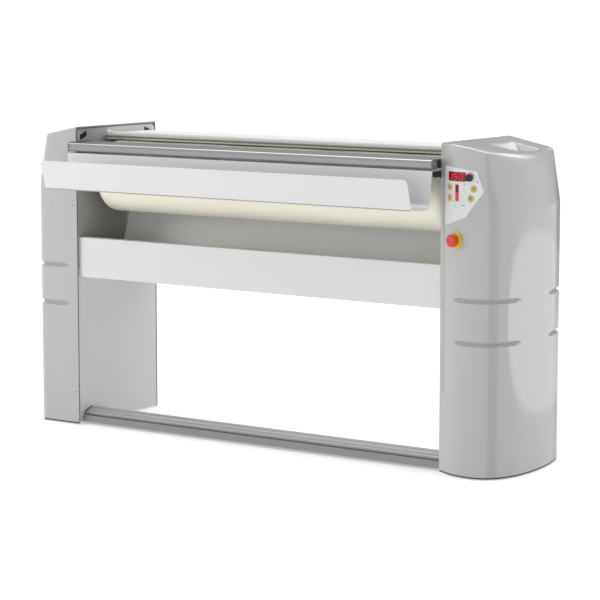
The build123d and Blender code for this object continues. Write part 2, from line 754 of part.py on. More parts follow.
guard_cap_wall = 3.0
guard_u = -(end_clear + guard_cap_wall)
bar = slab(guard_section(), x_left - guard_u, x_right + guard_u)
for lug in pair(guard_lug()):
    bar += lug
keep("guard_bar", bar)
cap_face = Polygon((guard_front, guard_low), (guard_back, guard_low), (guard_back, guard_top + 2),
                   (guard_front + 9, guard_top + 2), (guard_front, guard_top - 5), align=None)
cap = slab(cap_face, guard_u, -end_clear) + slab(offset(cap_face, -guard_wall - 0.2), guard_u - 9, guard_u)
cap_screw = (guard_front + guard_depth / 2, (guard_low + guard_top) / 2)
keep("guard_end_caps", pair(cap - rod(cap_screw, 2.2, guard_u - 10, 0)))
screw = rod(cap_screw, 2.0, guard_u - 8, -end_clear) + rod(cap_screw, 4.5, -end_clear, -end_clear + 2)
keep("guard_screws", pair(screw))


def guard_block():
    """A black bearing block: its back is fixed to the side plate, its front holds the guard's pin."""
    front, low, high = guard_back + 0.8, guard_low + 2.5, guard_top - 3
    outline = Polygon((front, low), (22, low), (22, high - 6.5), (-6, high), (front + 2.2, high),
                      (front, high - 15), align=None)
    hub = slab(outline, -9, -0.1)
    return hub + rod(guard_pivot, guard_pin, -18, -5)


def trough_bracket():
    top = trough_back - 2.2
    outline = Polygon((-49, top), (28, top), (28, top - 24), (6, top - 24), (-10, top - 19), (-42, top - 19),
                      align=None)
    plate = slab(outline, -4, -0.1)
    return plate + block(-46, 26, top - 2.5, top, -26, -3)


keep("guard_blocks", pair(guard_block()))
keep("trough_brackets", pair(trough_bracket()))

# ---------------------------------------------------------------- trough, slide, panels and hood
inside = (x_left + end_clear, x_right - end_clear)
trough = sheet(trough_path, trough_wall, trough_radii, *inside)
lip_top = trough_path[-1][1]
corners = [e for e in trough.edges() if e.length < 3 and e.center().Z > lip_top - 3
           and e.center().Y < guard_front - 60]
keep("feed_trough", fillet(corners, lip_corner))
panel_path = ((30.0, panel_high), (0.0, panel_high), (0.0, panel_low), (34.0, panel_low))
keep("front_panel", sheet(panel_path, panel_wall, (3.0, 3.0), *inside))
keep("return_slide", sheet(slide_path, panel_wall, (160.0, 110.0), *inside))
hood_path = ((hood_front + 20, hood_under), (hood_front, hood_under), (hood_front, hood_top),
             (hood_back, hood_top), (hood_back, hood_low), (hood_back - 14, hood_low))
keep("rear_hood", sheet(hood_path[::-1], hood_wall, (4.0, 16.0, 5.0, 4.0), *inside))
back_path = ((hood_back - 14, hood_low - 1), (hood_back, hood_low - 1), (hood_back, back_panel_low),
             (hood_back - 20, back_panel_low))
keep("back_panel", sheet(back_path[::-1], panel_wall, (4.0, 4.0), *inside))


def hood_clip():
    """A bright bent tab that ties the hood's nose to the side plate."""
    tab = Polygon((hood_front + 1, hood_top), (hood_front + 30, hood_top), (hood_front + 18, hood_top + 11),
                  (hood_front + 8, hood_top + 11), align=None)
    leg = slab(tab, -2.5, -0.1)
    return leg + block(hood_front + 2, hood_front + 26, hood_top, hood_top + 2, -28, -1)


keep("hood_clips", pair(hood_clip()))


def rail(y0, y1, z0, z1):
    """A ledge on the side plate that carries sheet metal between the columns."""
    return block(y0, y1, z0, z1, -18, -0.1)


rail_low, rail_high = slide_top - 62, slide_top - 17
slide_rail = Polygon((287.1, rail_high), (269.5, rail_low), (292, rail_low), (305, rail_high), align=None)
rails = [rail(300, 366, hood_top - hood_wall - 14, hood_top - hood_wall),
         rail(4, 26, slide_floor + 0.1, slide_floor + 15), slab(slide_rail, -18, -0.1)]
keep("sheet_rails", [solid for r in rails for solid in pair(r)])

# ---------------------------------------------------------------- electrics
case_top = axle[1] - gear_size[2] / 2 - motor_length - 105
case_low = case_top - 290
case_out = plate_wall + 100
case = block(30, 205, case_low, case_top, plate_wall, case_out, 5)
case -= block(33, 202, case_low + 3, case_top - 3, plate_wall + 3, case_out - 2, 3)
lid = block(28, 207, case_low - 2, case_top + 2, case_out, case_out + 4, 6)
keep("control_box", right(case))
keep("control_box_lid", right(lid))
gland = Pos(0, 0, 0) * extrude(RegularPolygon(15, 6), amount=8)
gland += Pos(0, 0, 8) * extrude(Circle(13), amount=12)
gland += Pos(0, 0, -16) * extrude(Circle(gland_bore + 3.8), amount=16)
gland += Pos(0, 0, -12) * extrude(RegularPolygon(15, 6), amount=12 - cover_wall)
gland -= Pos(0, 0, -20) * extrude(Circle(gland_bore), amount=50)
gland = chamfer(gland.edges().group_by(Axis.Z)[-1].sort_by(SortBy.RADIUS)[-1], 3)
keep("cable_gland", right(gland_hole * gland))

# ---------------------------------------------------------------- controls


def skin(wall, section):
    """A thin sheet of the given u-Z outline that lies on the curved front."""
    under, over = inset_curve(front_curve, -skin_clear), inset_curve(front_curve, -wall)
    ends = [Line(under.position_at(t), over.position_at(t)) for t in (0, 1)]
    band = extrude(make_face([under, over, *ends]), amount=shell_top, dir=(0, 0, 1))
    return band & extrude(Plane.XZ * section, amount=200, dir=(0, -1, 0))


def window(box, grow=0.0):
    u0, u1, z0, z1 = box
    pane = RectangleRounded(u1 - u0 + 2 * grow, z1 - z0 + 2 * grow, 2 + grow)
    return Pos((u0 + u1) / 2, (z0 + z1) / 2) * pane


plate_outline = fillet(Polygon(*overlay_outline, align=None).vertices(), 6)
overlay = skin(overlay_wall, plate_outline - window(display_box, 0.2) - window(level_box, 0.2))
for place in key_places.values():
    overlay -= on_face(place, drum(key_radius + key_clear, -10, 20))
overlay -= on_face(knob_place, drum(3.3, -10, 20))
overlay -= on_face(lamp_place, drum(3.2, -10, 20))
keep("control_overlay", right(overlay))
keep("display_window", right(skin(overlay_wall + 0.6, window(display_box))))
keep("level_window", right(skin(overlay_wall + 0.6, window(level_box))))
lamp = on_face(lamp_place, chamfer(drum(3, -2, 2.4).edges().group_by(Axis.Z)[-1], 1)) - right_outer
keep("signal_lamp", right(lamp))
for name, place in key_places.items():
    key = chamfer(drum(key_radius, -9, 2.2).edges().group_by(Axis.Z)[-1], 0.8)
    keep(name, right(on_face(place, key)))
knob = drum(knob_radius, 1.6, 14)
for spot in PolarLocations(knob_radius + 0.6, 12):
    knob -= Pos(0, 0, 4) * spot * extrude(Circle(1.5), amount=12)
knob += drum(3, -16, 2)
keep("speed_knob", right(on_face(knob_place, knob)))
stop_base = on_face(stop_place, chamfer(drum(stop_base_radius, -12, 8).edges().group_by(Axis.Z)[-1], 2))
stop_base -= on_face(stop_place, drum(stop_stem_radius + 0.3, -30, 20))
keep("stop_base", right(stop_base - right_outer))
mushroom = drum(stop_cap_radius, 15, 28)
mushroom = chamfer(mushroom.edges().group_by(Axis.Z)[-1], 3, 6)
mushroom = chamfer(mushroom.edges().group_by(Axis.Z)[0], 1.5) + drum(stop_stem_radius, -22, 16)
keep("stop_button", right(on_face(stop_place, mushroom)))


def cover_screw(side, place):
    """A screw head on a column's front, near the inner edge."""
    head = Pos(0, 0, 0) * extrude(Circle(4.5), amount=1.8)
    return side(place * chamfer(head.edges().group_by(Axis.Z)[-1], 0.8))


screws = []
for z in (control_height - 139, 120.0):
    screws.append(cover_screw(right, face_frame(18, z).location))
    screws.append(cover_screw(left, Pos(18, left_front, z) * Rot(90, 0, 0)))
keep("cover_screws", screws)

# ---------------------------------------------------------------- write the files
boxes = [shape.bounding_box() for shape in nodes.values()]
low = Vector(min(b.min.X for b in boxes), min(b.min.Y for b in boxes), min(b.min.Z for b in boxes))
high = Vector(max(b.max.X for b in boxes), max(b.max.Y for b in boxes), max(b.max.Z for b in boxes))
home = Vector((low.X + high.X) / 2, (low.Y + high.Y) / 2, low.Z)
print("size", high - low, "origin", home, "chest travel", round(chest_travel, 4))
for name, shape in nodes.items():
    export_step(Location(-home) * shape, "parts/" + name + ".step")
for name, place in {**key_places, "speed_knob": knob_place, "stop_button": stop_place}.items():
    plane = face_frame(*place)
    spot = plane.origin + Vector(x_right, 0, 0) - home
    print("control", name, spot, "outwards", plane.z_dir)
print(len(nodes), "nodes")
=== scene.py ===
import json
import math
import bmesh
import bpy
import numpy as np
from mathutils import Matrix, Vector


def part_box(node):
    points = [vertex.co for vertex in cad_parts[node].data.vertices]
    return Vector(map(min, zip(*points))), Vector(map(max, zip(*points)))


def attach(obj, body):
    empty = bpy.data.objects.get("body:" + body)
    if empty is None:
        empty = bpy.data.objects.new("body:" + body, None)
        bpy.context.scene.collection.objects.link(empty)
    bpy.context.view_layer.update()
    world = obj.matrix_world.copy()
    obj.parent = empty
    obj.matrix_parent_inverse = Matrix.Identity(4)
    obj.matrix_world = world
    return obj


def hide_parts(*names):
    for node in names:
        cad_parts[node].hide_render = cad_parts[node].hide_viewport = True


# Flatwork ironer: one padded roller between two moulded columns.
# Metres, X to the right along the roller, Y to the back, Z up from the floor.

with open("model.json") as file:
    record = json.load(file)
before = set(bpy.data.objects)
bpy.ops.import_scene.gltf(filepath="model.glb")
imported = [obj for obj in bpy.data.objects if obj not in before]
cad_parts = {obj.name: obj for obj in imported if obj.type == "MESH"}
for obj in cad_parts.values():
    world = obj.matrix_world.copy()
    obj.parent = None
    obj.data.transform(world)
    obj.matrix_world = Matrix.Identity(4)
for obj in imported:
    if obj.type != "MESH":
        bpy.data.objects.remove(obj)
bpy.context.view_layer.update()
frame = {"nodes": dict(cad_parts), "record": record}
nodes = frame["nodes"]
scene = bpy.context.scene
print("frame loaded,", len(nodes), "nodes")


# camera, at the height of a standing person, three-quarter from the right
cameraSpot = {"place": (4.576, -6.531, 1.543), "turn": 34.556, "dip": 7.52, "lens": 142.2}

cameraData = bpy.data.cameras.new("camera")
cameraData.lens = cameraSpot["lens"]
cameraData.sensor_width = 36.0
cameraData.clip_end = 600.0
camera = bpy.data.objects.new("camera", cameraData)
camera.location = cameraSpot["place"]
camera.rotation_euler = (math.radians(90 - cameraSpot["dip"]), 0, math.radians(cameraSpot["turn"]))
scene.collection.objects.link(camera)
scene.camera = camera


# finishes
def put(tree, kind, inputs=None, **settings):
    # one node, its settings, and its inputs as values or as sockets to link from
    node = tree.nodes.new(kind)
    for name, value in settings.items():
        setattr(node, name, value)
    for name, value in (inputs or {}).items():
        if isinstance(value, bpy.types.NodeSocket):
            tree.links.new(value, node.inputs[name])
        else:
            node.inputs[name].default_value = value
    return node


def calc(tree, operation, *values):
    # the result of one math node
    return put(tree, "ShaderNodeMath", dict(enumerate(values)), operation=operation).outputs[0]


def newGroup(name, takes, gives):
    tree = bpy.data.node_groups.new(name, "ShaderNodeTree")
    for label, kind, value in takes:
        socket = tree.interface.new_socket(label, in_out="INPUT", socket_type=kind)
        if value is not None:
            socket.default_value = value
    for label, kind in gives:
        tree.interface.new_socket(label, in_out="OUTPUT", socket_type=kind)
    return tree, tree.nodes.new("NodeGroupInput").outputs, tree.nodes.new("NodeGroupOutput")


def buildGrain():
    # slow colour drift, fine speckle and rubbed patches, all in metres of the object
    tree, take, give = newGroup("paintGrain", [
        ("Color", "NodeSocketColor", (0.8, 0.8, 0.8, 1)), ("Drift", "NodeSocketFloat", 0.03),
        ("Grain Size", "NodeSocketFloat", 900.0), ("Rough", "NodeSocketFloat", 0.35),
        ("Rough Drift", "NodeSocketFloat", 0.05)],
        [("Color", "NodeSocketColor"), ("Roughness", "NodeSocketFloat"), ("Height", "NodeSocketFloat")])
    where = put(tree, "ShaderNodeTexCoord").outputs["Object"]
    slow = put(tree, "ShaderNodeTexNoise", {"Vector": where, "Scale": 3.5, "Detail": 3.0, "Roughness": 0.55})
    fine = put(tree, "ShaderNodeTexNoise", {"Vector": where, "Scale": take["Grain Size"], "Detail": 2.0})
    handled = put(tree, "ShaderNodeTexNoise", {"Vector": where, "Scale": 17.0, "Detail": 5.0,
                                               "Distortion": 0.4})
    tone = calc(tree, "MULTIPLY_ADD", calc(tree, "SUBTRACT", slow.outputs["Fac"], 0.5), take["Drift"], 1.0)
    tinted = put(tree, "ShaderNodeVectorMath", {0: take["Color"], "Scale": tone}, operation="SCALE")
    rub = calc(tree, "SUBTRACT", handled.outputs["Fac"], 0.5)
    rough = calc(tree, "MULTIPLY_ADD", rub, take["Rough Drift"], take["Rough"])
    tree.links.new(tinted.outputs[0], give.inputs["Color"])
    tree.links.new(rough, give.inputs["Roughness"])
    tree.links.new(fine.outputs["Fac"], give.inputs["Height"])
    return tree


def buildBrush():
    # drawing or grinding lines along one direction
    tree, take, give = newGroup("brushLines", [
        ("Color", "NodeSocketColor", (0.7, 0.7, 0.7, 1)), ("Along", "NodeSocketVector", (6.0, 900.0, 900.0)),
        ("Rough", "NodeSocketFloat", 0.3), ("Contrast", "NodeSocketFloat", 0.12)],
        [("Color", "NodeSocketColor"), ("Roughness", "NodeSocketFloat"), ("Height", "NodeSocketFloat")])
    where = put(tree, "ShaderNodeTexCoord").outputs["Object"]
    drawn = put(tree, "ShaderNodeVectorMath", {0: where, 1: take["Along"]}, operation="MULTIPLY")
    lines = put(tree, "ShaderNodeTexNoise", {"Vector": drawn.outputs[0], "Scale": 1.0, "Detail": 4.0})
    bands = put(tree, "ShaderNodeTexNoise", {"Vector": where, "Scale": 9.0, "Detail": 2.0})
    shift = calc(tree, "SUBTRACT", calc(tree, "ADD", lines.outputs["Fac"], bands.outputs["Fac"]), 1.0)
    tone = calc(tree, "MULTIPLY_ADD", shift, take["Contrast"], 1.0)
    tinted = put(tree, "ShaderNodeVectorMath", {0: take["Color"], "Scale": tone}, operation="SCALE")
    rough = calc(tree, "MULTIPLY_ADD", shift, take["Contrast"], take["Rough"])
    tree.links.new(tinted.outputs[0], give.inputs["Color"])
    tree.links.new(rough, give.inputs["Roughness"])
    tree.links.new(lines.outputs["Fac"], give.inputs["Height"])
    return tree


paintGrain = buildGrain()
brushLines = buildBrush()


def newFinish(name, group, values, bump=0.0, bumpDepth=0.0002, **sockets):
    # a Principled surface fed by one of the groups; plain numbers sit on its own sockets
    material = bpy.data.materials.new(name)
    material.use_nodes = True
    tree = material.node_tree
    tree.nodes.clear()
    output = put(tree, "ShaderNodeOutputMaterial")
    surface = put(tree, "ShaderNodeBsdfPrincipled", {key.replace("_", " "): v for key, v in sockets.items()})
    source = put(tree, "ShaderNodeGroup", node_tree=group)
    for key, value in values.items():
        source.inputs[key].default_value = value
    tree.links.new(source.outputs["Color"], surface.inputs["Base Color"])
    tree.links.new(source.outputs["Roughness"], surface.inputs["Roughness"])
    if bump:
        relief = put(tree, "ShaderNodeBump", {"Strength": bump, "Distance": bumpDepth,
                                              "Height": source.outputs["Height"]})
        tree.links.new(relief.outputs["Normal"], surface.inputs["Normal"])
    tree.links.new(surface.outputs["BSDF"], output.inputs["Surface"])
    return material


def paint(name, color, rough, drift=0.03, grain=900.0, bump=0.04, **sockets):
    values = {"Color": (*color, 1), "Drift": drift, "Grain Size": grain, "Rough": rough}
    return newFinish(name, paintGrain, values, bump=bump, **sockets)


def metal(name, color, rough, along=(6, 900, 900), contrast=0.12, bump=0.05, **sockets):
    values = {"Color": (*color, 1), "Along": along, "Rough": rough, "Contrast": contrast}
    return newFinish(name, brushLines, values, bump=bump, Metallic=1.0, **sockets)


def plain(name, **sockets):
    # an even surface: one value on each of the named sockets
    material = bpy.data.materials.new(name)
    material.use_nodes = True
    surface = material.node_tree.nodes["Principled BSDF"]
    for key, value in sockets.items():
        surface.inputs[key.replace("_", " ")].default_value = value
    return material


finishes = {
    "column_shell": paint("shellGloss", (0.385, 0.385, 0.382), 0.04, drift=0.015, bump=0.008,
                          Specular_IOR_Level=1.0),
    "side_steel": paint("sideSatin", (0.565, 0.565, 0.56), 0.42),
    "white_sheet": paint("whiteEnamel", (0.585, 0.585, 0.585), 0.34, drift=0.015, Coat_Weight=0.15,
                         Coat_Roughness=0.2),
    "grey_sheet": paint("greyEnamel", (0.80, 0.80, 0.78), 0.38),
    "aluminium": metal("drawnAluminium", (0.39, 0.39, 0.395), 0.42),
    "polished_chest": metal("polishedChest", (0.72, 0.71, 0.69), 0.14, contrast=0.05),
    "roller_cloth": paint("rollerCloth", (0.86, 0.83, 0.70), 0.9, drift=0.06, bump=0.2, Sheen_Weight=0.3),
    "steel": metal("machinedSteel", (0.50, 0.50, 0.51), 0.32),
    "zinc": metal("zincPlate", (0.62, 0.62, 0.63), 0.30, along=(300, 300, 300)),
    "cast_grey": paint("castGrey", (0.16, 0.165, 0.17), 0.5, grain=350.0, bump=0.25),
    "motor_paint": paint("motorPaint", (0.09, 0.11, 0.14), 0.45, grain=350.0, bump=0.15),
    "lagging": paint("mineralWool", (0.62, 0.58, 0.46), 0.95, drift=0.2, grain=250.0, bump=0.6),
    "black_plastic": paint("blackPlastic", (0.018, 0.018, 0.02), 0.38, bump=0.1),
    "rubber_foot": paint("rubberFoot", (0.02, 0.02, 0.02), 0.7, bump=0.2),
    "overlay_film": paint("overlayFilm", (0.60, 0.61, 0.62), 0.30, drift=0.01),
    "display_red": paint("displayRed", (0.24, 0.004, 0.018), 0.14, Coat_Weight=0.5, Coat_Roughness=0.03),
    "key_yellow": paint("keyYellow", (0.55, 0.38, 0.012), 0.35),
    "stop_yellow": paint("stopYellow", (0.62, 0.43, 0.012), 0.28),
    "stop_red": paint("stopRed", (0.52, 0.032, 0.022), 0.28, Coat_Weight=0.3, Coat_Roughness=0.08),
    "lamp_amber": paint("lampAmber", (0.85, 0.38, 0.04), 0.15),
}
slotOf = {part["node"]: part["material_slot"] for part in frame["record"]["subparts"]}
ownFinishes = {
    # the guard's front takes a lighter copy of the aluminium and its shelf a darker one: painted light and
    # shade
    "guard_bar": metal("guardLitAluminium", (0.47, 0.47, 0.475), 0.46, contrast=0.06),
    "pedal_tread": metal("treadAluminium", (0.56, 0.56, 0.565), 0.42, contrast=0.08),
    # the hood clips are painted near white as a painted highlight
    "hood_clips": paint("clipPaintedHighlight", (0.92, 0.92, 0.92), 0.25),
}
for name, node in nodes.items():
    node.data.materials.clear()
    node.data.materials.append(ownFinishes.get(name, finishes[slotOf[name]]))
print("finishes made,", len(finishes))


def finishPiece(piece, slot, body, *replaced):
    # what every made piece needs: the finish of its slot and its body; the nodes it stands for are hidden
    piece.data.materials.clear()
    piece.data.materials.append(finishes[slot])
    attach(piece, body)
    if replaced:
        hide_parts(*replaced)
    return piece


# degrees between two faces above which their edge is sharp, on moulded and on folded pieces
sharpEdge, sharpFold = 35.0, 25.0


def meshPiece(name, points, faces, sharp=sharpEdge):
    data = bpy.data.meshes.new(name)
    data.from_pydata([tuple(p) for p in points], [], faces)
    work = bmesh.new()
    work.from_mesh(data)
    bmesh.ops.remove_doubles(work, verts=work.verts, dist=0.000001)
    bmesh.ops.recalc_face_normals(work, faces=work.faces)
    for face in work.faces:
        face.smooth = True
    work.to_mesh(data)
    work.free()
    data.set_sharp_from_angle(angle=math.radians(sharp))
    piece = bpy.data.objects.new(name, data)
    scene.collection.objects.link(piece)
    return piece


# columns: one moulded skin each, closed towards the roller by a steel plate
shell = {"floorGap": 0.008, "depth": 0.440, "wall": 0.005, "slope": 11.6, "taperFrom": 0.858,
         "softTaper": 0.020, "edgeRound": 0.0075, "shoulderRound": 0.026,
         "shoulderTurn": ((45, 40), (172, 40)),
         "grooves": (0.568, 0.432), "grooveTall": 0.016, "grooveDeep": 0.009, "grooveCurve": 0.6,
         "grooveRunOut": 0.035,
         "station": 0.0033, "fineStation": 0.0015, "frontStation": 0.0005,
         "footRows": (0.010, 0.014), "rows": (0.03, 0.80, 0.02),
         "grooveRows": (11, 0.001, 0.014), "turnFrom": 0.805, "crownRows": (0.84, 0.85, 22),
         "topRows": (0.16, 17, 75)}
rightLow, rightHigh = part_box("right_column_cover")
leftLow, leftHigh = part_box("left_column_cover")
backY = rightHigh.y
frontY = backY - shell["depth"]   # the right column's front edge at the gap
rightShell = {"name": "rightColumnShell", "side": 1, "inner": rightLow.x, "width": rightHigh.x - rightLow.x,
              "lean": 8.5, "leanTurn": ((20, 60), (175, 50)),
              "grooveRuns": ((0.088, 0.382), (0.600, 0.860))}
leftShell = {"name": "leftColumnShell", "side": -1, "inner": leftHigh.x, "width": leftHigh.x - leftLow.x,
             "lean": 11.15, "grooveRuns": ((0.045, 0.40), (0.62, 0.82)), "front": -0.012,
             "back": shell["depth"], "corners": (0.028, 0.056)}


def splineThrough(points, startWay, endWay, perSpan=60):
    # the smooth curve through the points, as a thin batten would lie
    p = np.array(points, float)
    h = np.linalg.norm(np.diff(p, axis=0), axis=1)
    count = len(p)
    a, b = np.eye(count), np.zeros((count, 2))
    b[0], b[-1] = startWay, endWay
    for i in range(1, count - 1):
        a[i, i - 1:i + 2] = 1 / h[i - 1], 2 / h[i - 1] + 2 / h[i], 1 / h[i]
        b[i] = 3 * ((p[i] - p[i - 1]) / h[i - 1] ** 2 + (p[i + 1] - p[i]) / h[i] ** 2)
    slope = np.linalg.solve(a, b)
    t = np.linspace(0, 1, perSpan, endpoint=False)[:, None]
    spans = [(2 * t**3 - 3 * t**2 + 1) * p[i] + (t**3 - 2 * t**2 + t) * h[i] * slope[i]
             + (3 * t**2 - 2 * t**3) * p[i + 1] + (t**3 - t**2) * h[i] * slope[i + 1]
             for i in range(count - 1)]
    return np.vstack([*spans, p[-1:]])


def cornerArc(start, way, radius, degrees, steps=50):
    way = np.array(way) / np.linalg.norm(way)
    centre = np.array(start) + radius * np.array((-way[1], way[0]))
    turn = np.radians(np.linspace(0, degrees, steps + 1))[1:]
    first = np.array(start) - centre
    return np.stack([centre[0] + first[0] * np.cos(turn) - first[1] * np.sin(turn),
                     centre[1] + first[0] * np.sin(turn) + first[1] * np.cos(turn)], axis=1)


# the right column's plan: its front bows forward and turns into a side that leans to a round back corner
bulge = {"lead": (0.060, -0.032), "crest": (0.125, 0.047), "turn": (0.064, 0.034),
         "shoulder": (0.026, 0.012), "peak": 0.150, "sideEnd": 0.034, "lean": 17.0, "corner": 0.080}


def rightPlan():
    # u outwards from the gap, y backwards from the front edge
    w, back, lean = rightShell["width"], shell["depth"], math.radians(bulge["lean"])
    lead = np.array(bulge["lead"]) / np.linalg.norm(bulge["lead"])
    sideEnd = (w - bulge["sideEnd"], back - bulge["corner"] * (1 - math.sin(lean)))
    way = (-math.sin(lean), math.cos(lean))
    crest = (bulge["crest"][0], -bulge["crest"][1])
    turn = (w - bulge["turn"][0], -bulge["turn"][1])
    shoulder = (w - bulge["shoulder"][0], bulge["shoulder"][1])
    through = [(0, 0), bulge["lead"], crest, turn, shoulder, (w, bulge["peak"]), sideEnd]
    curve = splineThrough(through, lead, way)
    arc = cornerArc(sideEnd, way, bulge["corner"], 90 - bulge["lean"])
    tail = np.linspace(arc[-1], (0, back), 90)[1:]
    return np.vstack([curve, arc, tail])


def leftPlan():
    # a box with rounded outer corners
    w, front, back = leftShell["width"], leftShell["front"], leftShell["back"]
    c, rear = leftShell["corners"]
    lines = [np.linspace((0, front), (w - c, front), 120), cornerArc((w - c, front), (1, 0), c, 90, 30)]
    lines.append(np.linspace((w, front + c), (w, back - rear), 240)[1:])
    lines.append(cornerArc((w, back - rear), (0, 1), rear, 90, 50))
    lines.append(np.linspace((w - rear, back), (0, back), 90)[1:])
    return np.vstack(lines)


def evenly(plan, spacing):
    # stations at even steps, with the outward normal at each
    run = np.concatenate([[0], np.cumsum(np.linalg.norm(np.diff(plan, axis=0), axis=1))])
    want = np.linspace(0, run[-1], int(run[-1] / spacing) + 1)
    spot = np.stack([np.interp(want, run, plan[:, k]) for k in (0, 1)], axis=1)
    way = np.gradient(plan, run, axis=0)
    way = np.stack([np.interp(want, run, way[:, k]) for k in (0, 1)], axis=1)
    way /= np.linalg.norm(way, axis=1)[:, None]
    return spot, np.stack([way[:, 1], -way[:, 0]], axis=1), want / run[-1]


def roundMeet(a, da, b, db, radius):
    # where two surfaces meet in a round edge: the distance and its direction
    pa, pb = np.maximum(a + radius, 0), np.maximum(b + radius, 0)
    long = np.sqrt(pa**2 + pb**2)
    both = (pa > 0) & (pb > 0)
    f = np.where(both, long - radius, np.maximum(a, b))
    safe = np.where(long > 1e-9, long, 1)[:, None]
    single = np.where((a > b)[:, None], da, db)
    return f, np.where(both[:, None], (pa[:, None] * da + pb[:, None] * db) / safe, single)


def taperIn(z, start):
    # how far above the taper's start, with a soft onset, and how fast that grows
    up, soft = z - start, shell["softTaper"]
    near = np.clip((up + soft) / (2 * soft), 0, 1)
    return np.where(up > soft, up, soft * near**2), near


def smooth(t):
    t = np.clip(t, 0, 1)
    return t * t * (3 - 2 * t)


def facingShare(way, window):
    # 1 where the wall faces into the window of directions, in degrees from the front, with soft ends
    facing = np.degrees(np.arctan2(way[:, 0], -way[:, 1]))
    (first, rise), (last, fall) = window
    return smooth((facing - first) / rise) * smooth((last - facing) / fall)


def rightWall(points, plan, normals, cfg):
    # the plan's wall, leaning in at the side; the nearest stations are looked up in chunks
    nearest = np.concatenate([np.argmin(((chunk[:, None, :2] - plan[None]) ** 2).sum(2), axis=1)
                              for chunk in np.array_split(points, len(points) // 2000 + 1)])
    way = np.concatenate([normals[nearest], np.zeros((len(points), 1))], axis=1)
    side = math.tan(math.radians(cfg["lean"])) * facingShare(way, cfg["leanTurn"])
    rise, growth = taperIn(points[:, 2], shell["taperFrom"])
    wall = ((points[:, :2] - plan[nearest]) * normals[nearest]).sum(1) + side * rise
    way[:, 2] = side * growth
    return wall, way


def leftWall(points, plan, normals, cfg):
    # a round-cornered box whose outer side leans in above the taper line; it needs no stations
    lean = math.tan(math.radians(cfg["lean"]))
    rise, growth = taperIn(points[:, 2], shell["taperFrom"])
    middle, half = (cfg["front"] + cfg["back"]) / 2, (cfg["back"] - cfg["front"]) / 2
    away = points[:, 1] - middle
    radius = np.where(away < 0, *cfg["corners"])
    qu, qv = points[:, 0] - (cfg["width"] - lean * rise - radius), np.abs(away) - (half - radius)
    long = np.hypot(np.maximum(qu, 0), np.maximum(qv, 0))
    both, safe = (qu > 0) & (qv > 0), np.maximum(long, 1e-9)
    wayU = np.where(both, qu / safe, qu > qv)
    wayY = np.where(both, qv / safe, qu <= qv) * np.sign(away)
    wall = long + np.minimum(np.maximum(qu, qv), 0) - radius
    return wall, np.stack([wayU, wayY, wayU * lean * growth], axis=1)


rightShell["wall"], leftShell["wall"] = rightWall, leftWall
# the right column's top is flatter along its front edge: how high it is lifted across its width
crown = {"lift": 0.018, "at": (0, 0.05, 0.09, 0.13, 0.163, 0.193, 0.223, 0.252),
         "share": (0, 0.5, 0.8, 1.0, 1.0, 0.8, 0.5, 0.2), "from": -0.05, "run": 0.38, "step": 0.004}


def topLift(u, y, cfg):
    if cfg is not rightShell:
        return 0.0 * u
    back = smooth((y - crown["from"]) / crown["run"])
    return crown["lift"] * np.interp(u, crown["at"], crown["share"]) * (1 - back)


def settle(points, plan, normals, cfg, top):
    # moves points onto the skin: the wall met by the sloping top
    slope, step = math.radians(shell["slope"]), crown["step"]
    for _ in range(5):
        wall, wallWay = cfg["wall"](points, plan, normals, cfg)
        long = np.linalg.norm(wallWay, axis=1)
        u, y = points[:, 0], points[:, 1]
        byU = (topLift(u + step, y, cfg) - topLift(u - step, y, cfg)) / (2 * step)
        byY = (topLift(u, y + step, cfg) - topLift(u, y - step, cfg)) / (2 * step)
        topWay = np.stack([math.tan(slope) - byU, -byY, np.ones(len(u))], axis=1)
        high = np.linalg.norm(topWay, axis=1)
        roof = (points[:, 2] - top + u * math.tan(slope) - topLift(u, y, cfg)) / high
        edge = shell["edgeRound"] + ((shell["shoulderRound"] - shell["edgeRound"])
                                     * facingShare(wallWay, shell["shoulderTurn"]))
        f, way = roundMeet(wall / long, wallWay / long[:, None], roof, topWay / high[:, None], edge)
        points = points - (f / (way**2).sum(1))[:, None] * way
    return points, way / np.linalg.norm(way, axis=1)[:, None]


# the dish in the right column's top
tray = {"at": (0.116, 0.249), "size": (0.118, 0.190), "corner": 0.024, "bank": 0.014, "deep": 0.020,
        "ramp": 0.060, "facesUp": 0.7}


def trayDepth(points):
    slope = math.radians(shell["slope"])
    u = np.abs(points[:, 0] - tray["at"][0]) / math.cos(slope) - tray["size"][0] / 2 + tray["corner"]
    y = np.abs(points[:, 1] - tray["at"][1]) - tray["size"][1] / 2 + tray["corner"]
    out = np.hypot(np.maximum(u, 0), np.maximum(y, 0)) + np.minimum(np.maximum(u, y), 0) - tray["corner"]
    ramp = (points[:, 0] - tray["at"][0] + tray["size"][0] / 2) / tray["ramp"]
    return tray["deep"] * smooth(np.minimum(-out / tray["bank"], ramp))


def wallLevels():
    # heights of the straight wall's rows, close together at the grooves
    start, end, step = shell["rows"]
    count, fine, clear = shell["grooveRows"]
    low = [shell["floorGap"], *shell["footRows"]]
    low += [z for z in np.arange(start, end, step) if min(abs(z - g) for g in shell["grooves"]) > clear]
    low += [g + k * fine for g in shell["grooves"] for k in range(-count, count + 1)]
    return np.array(sorted(low))


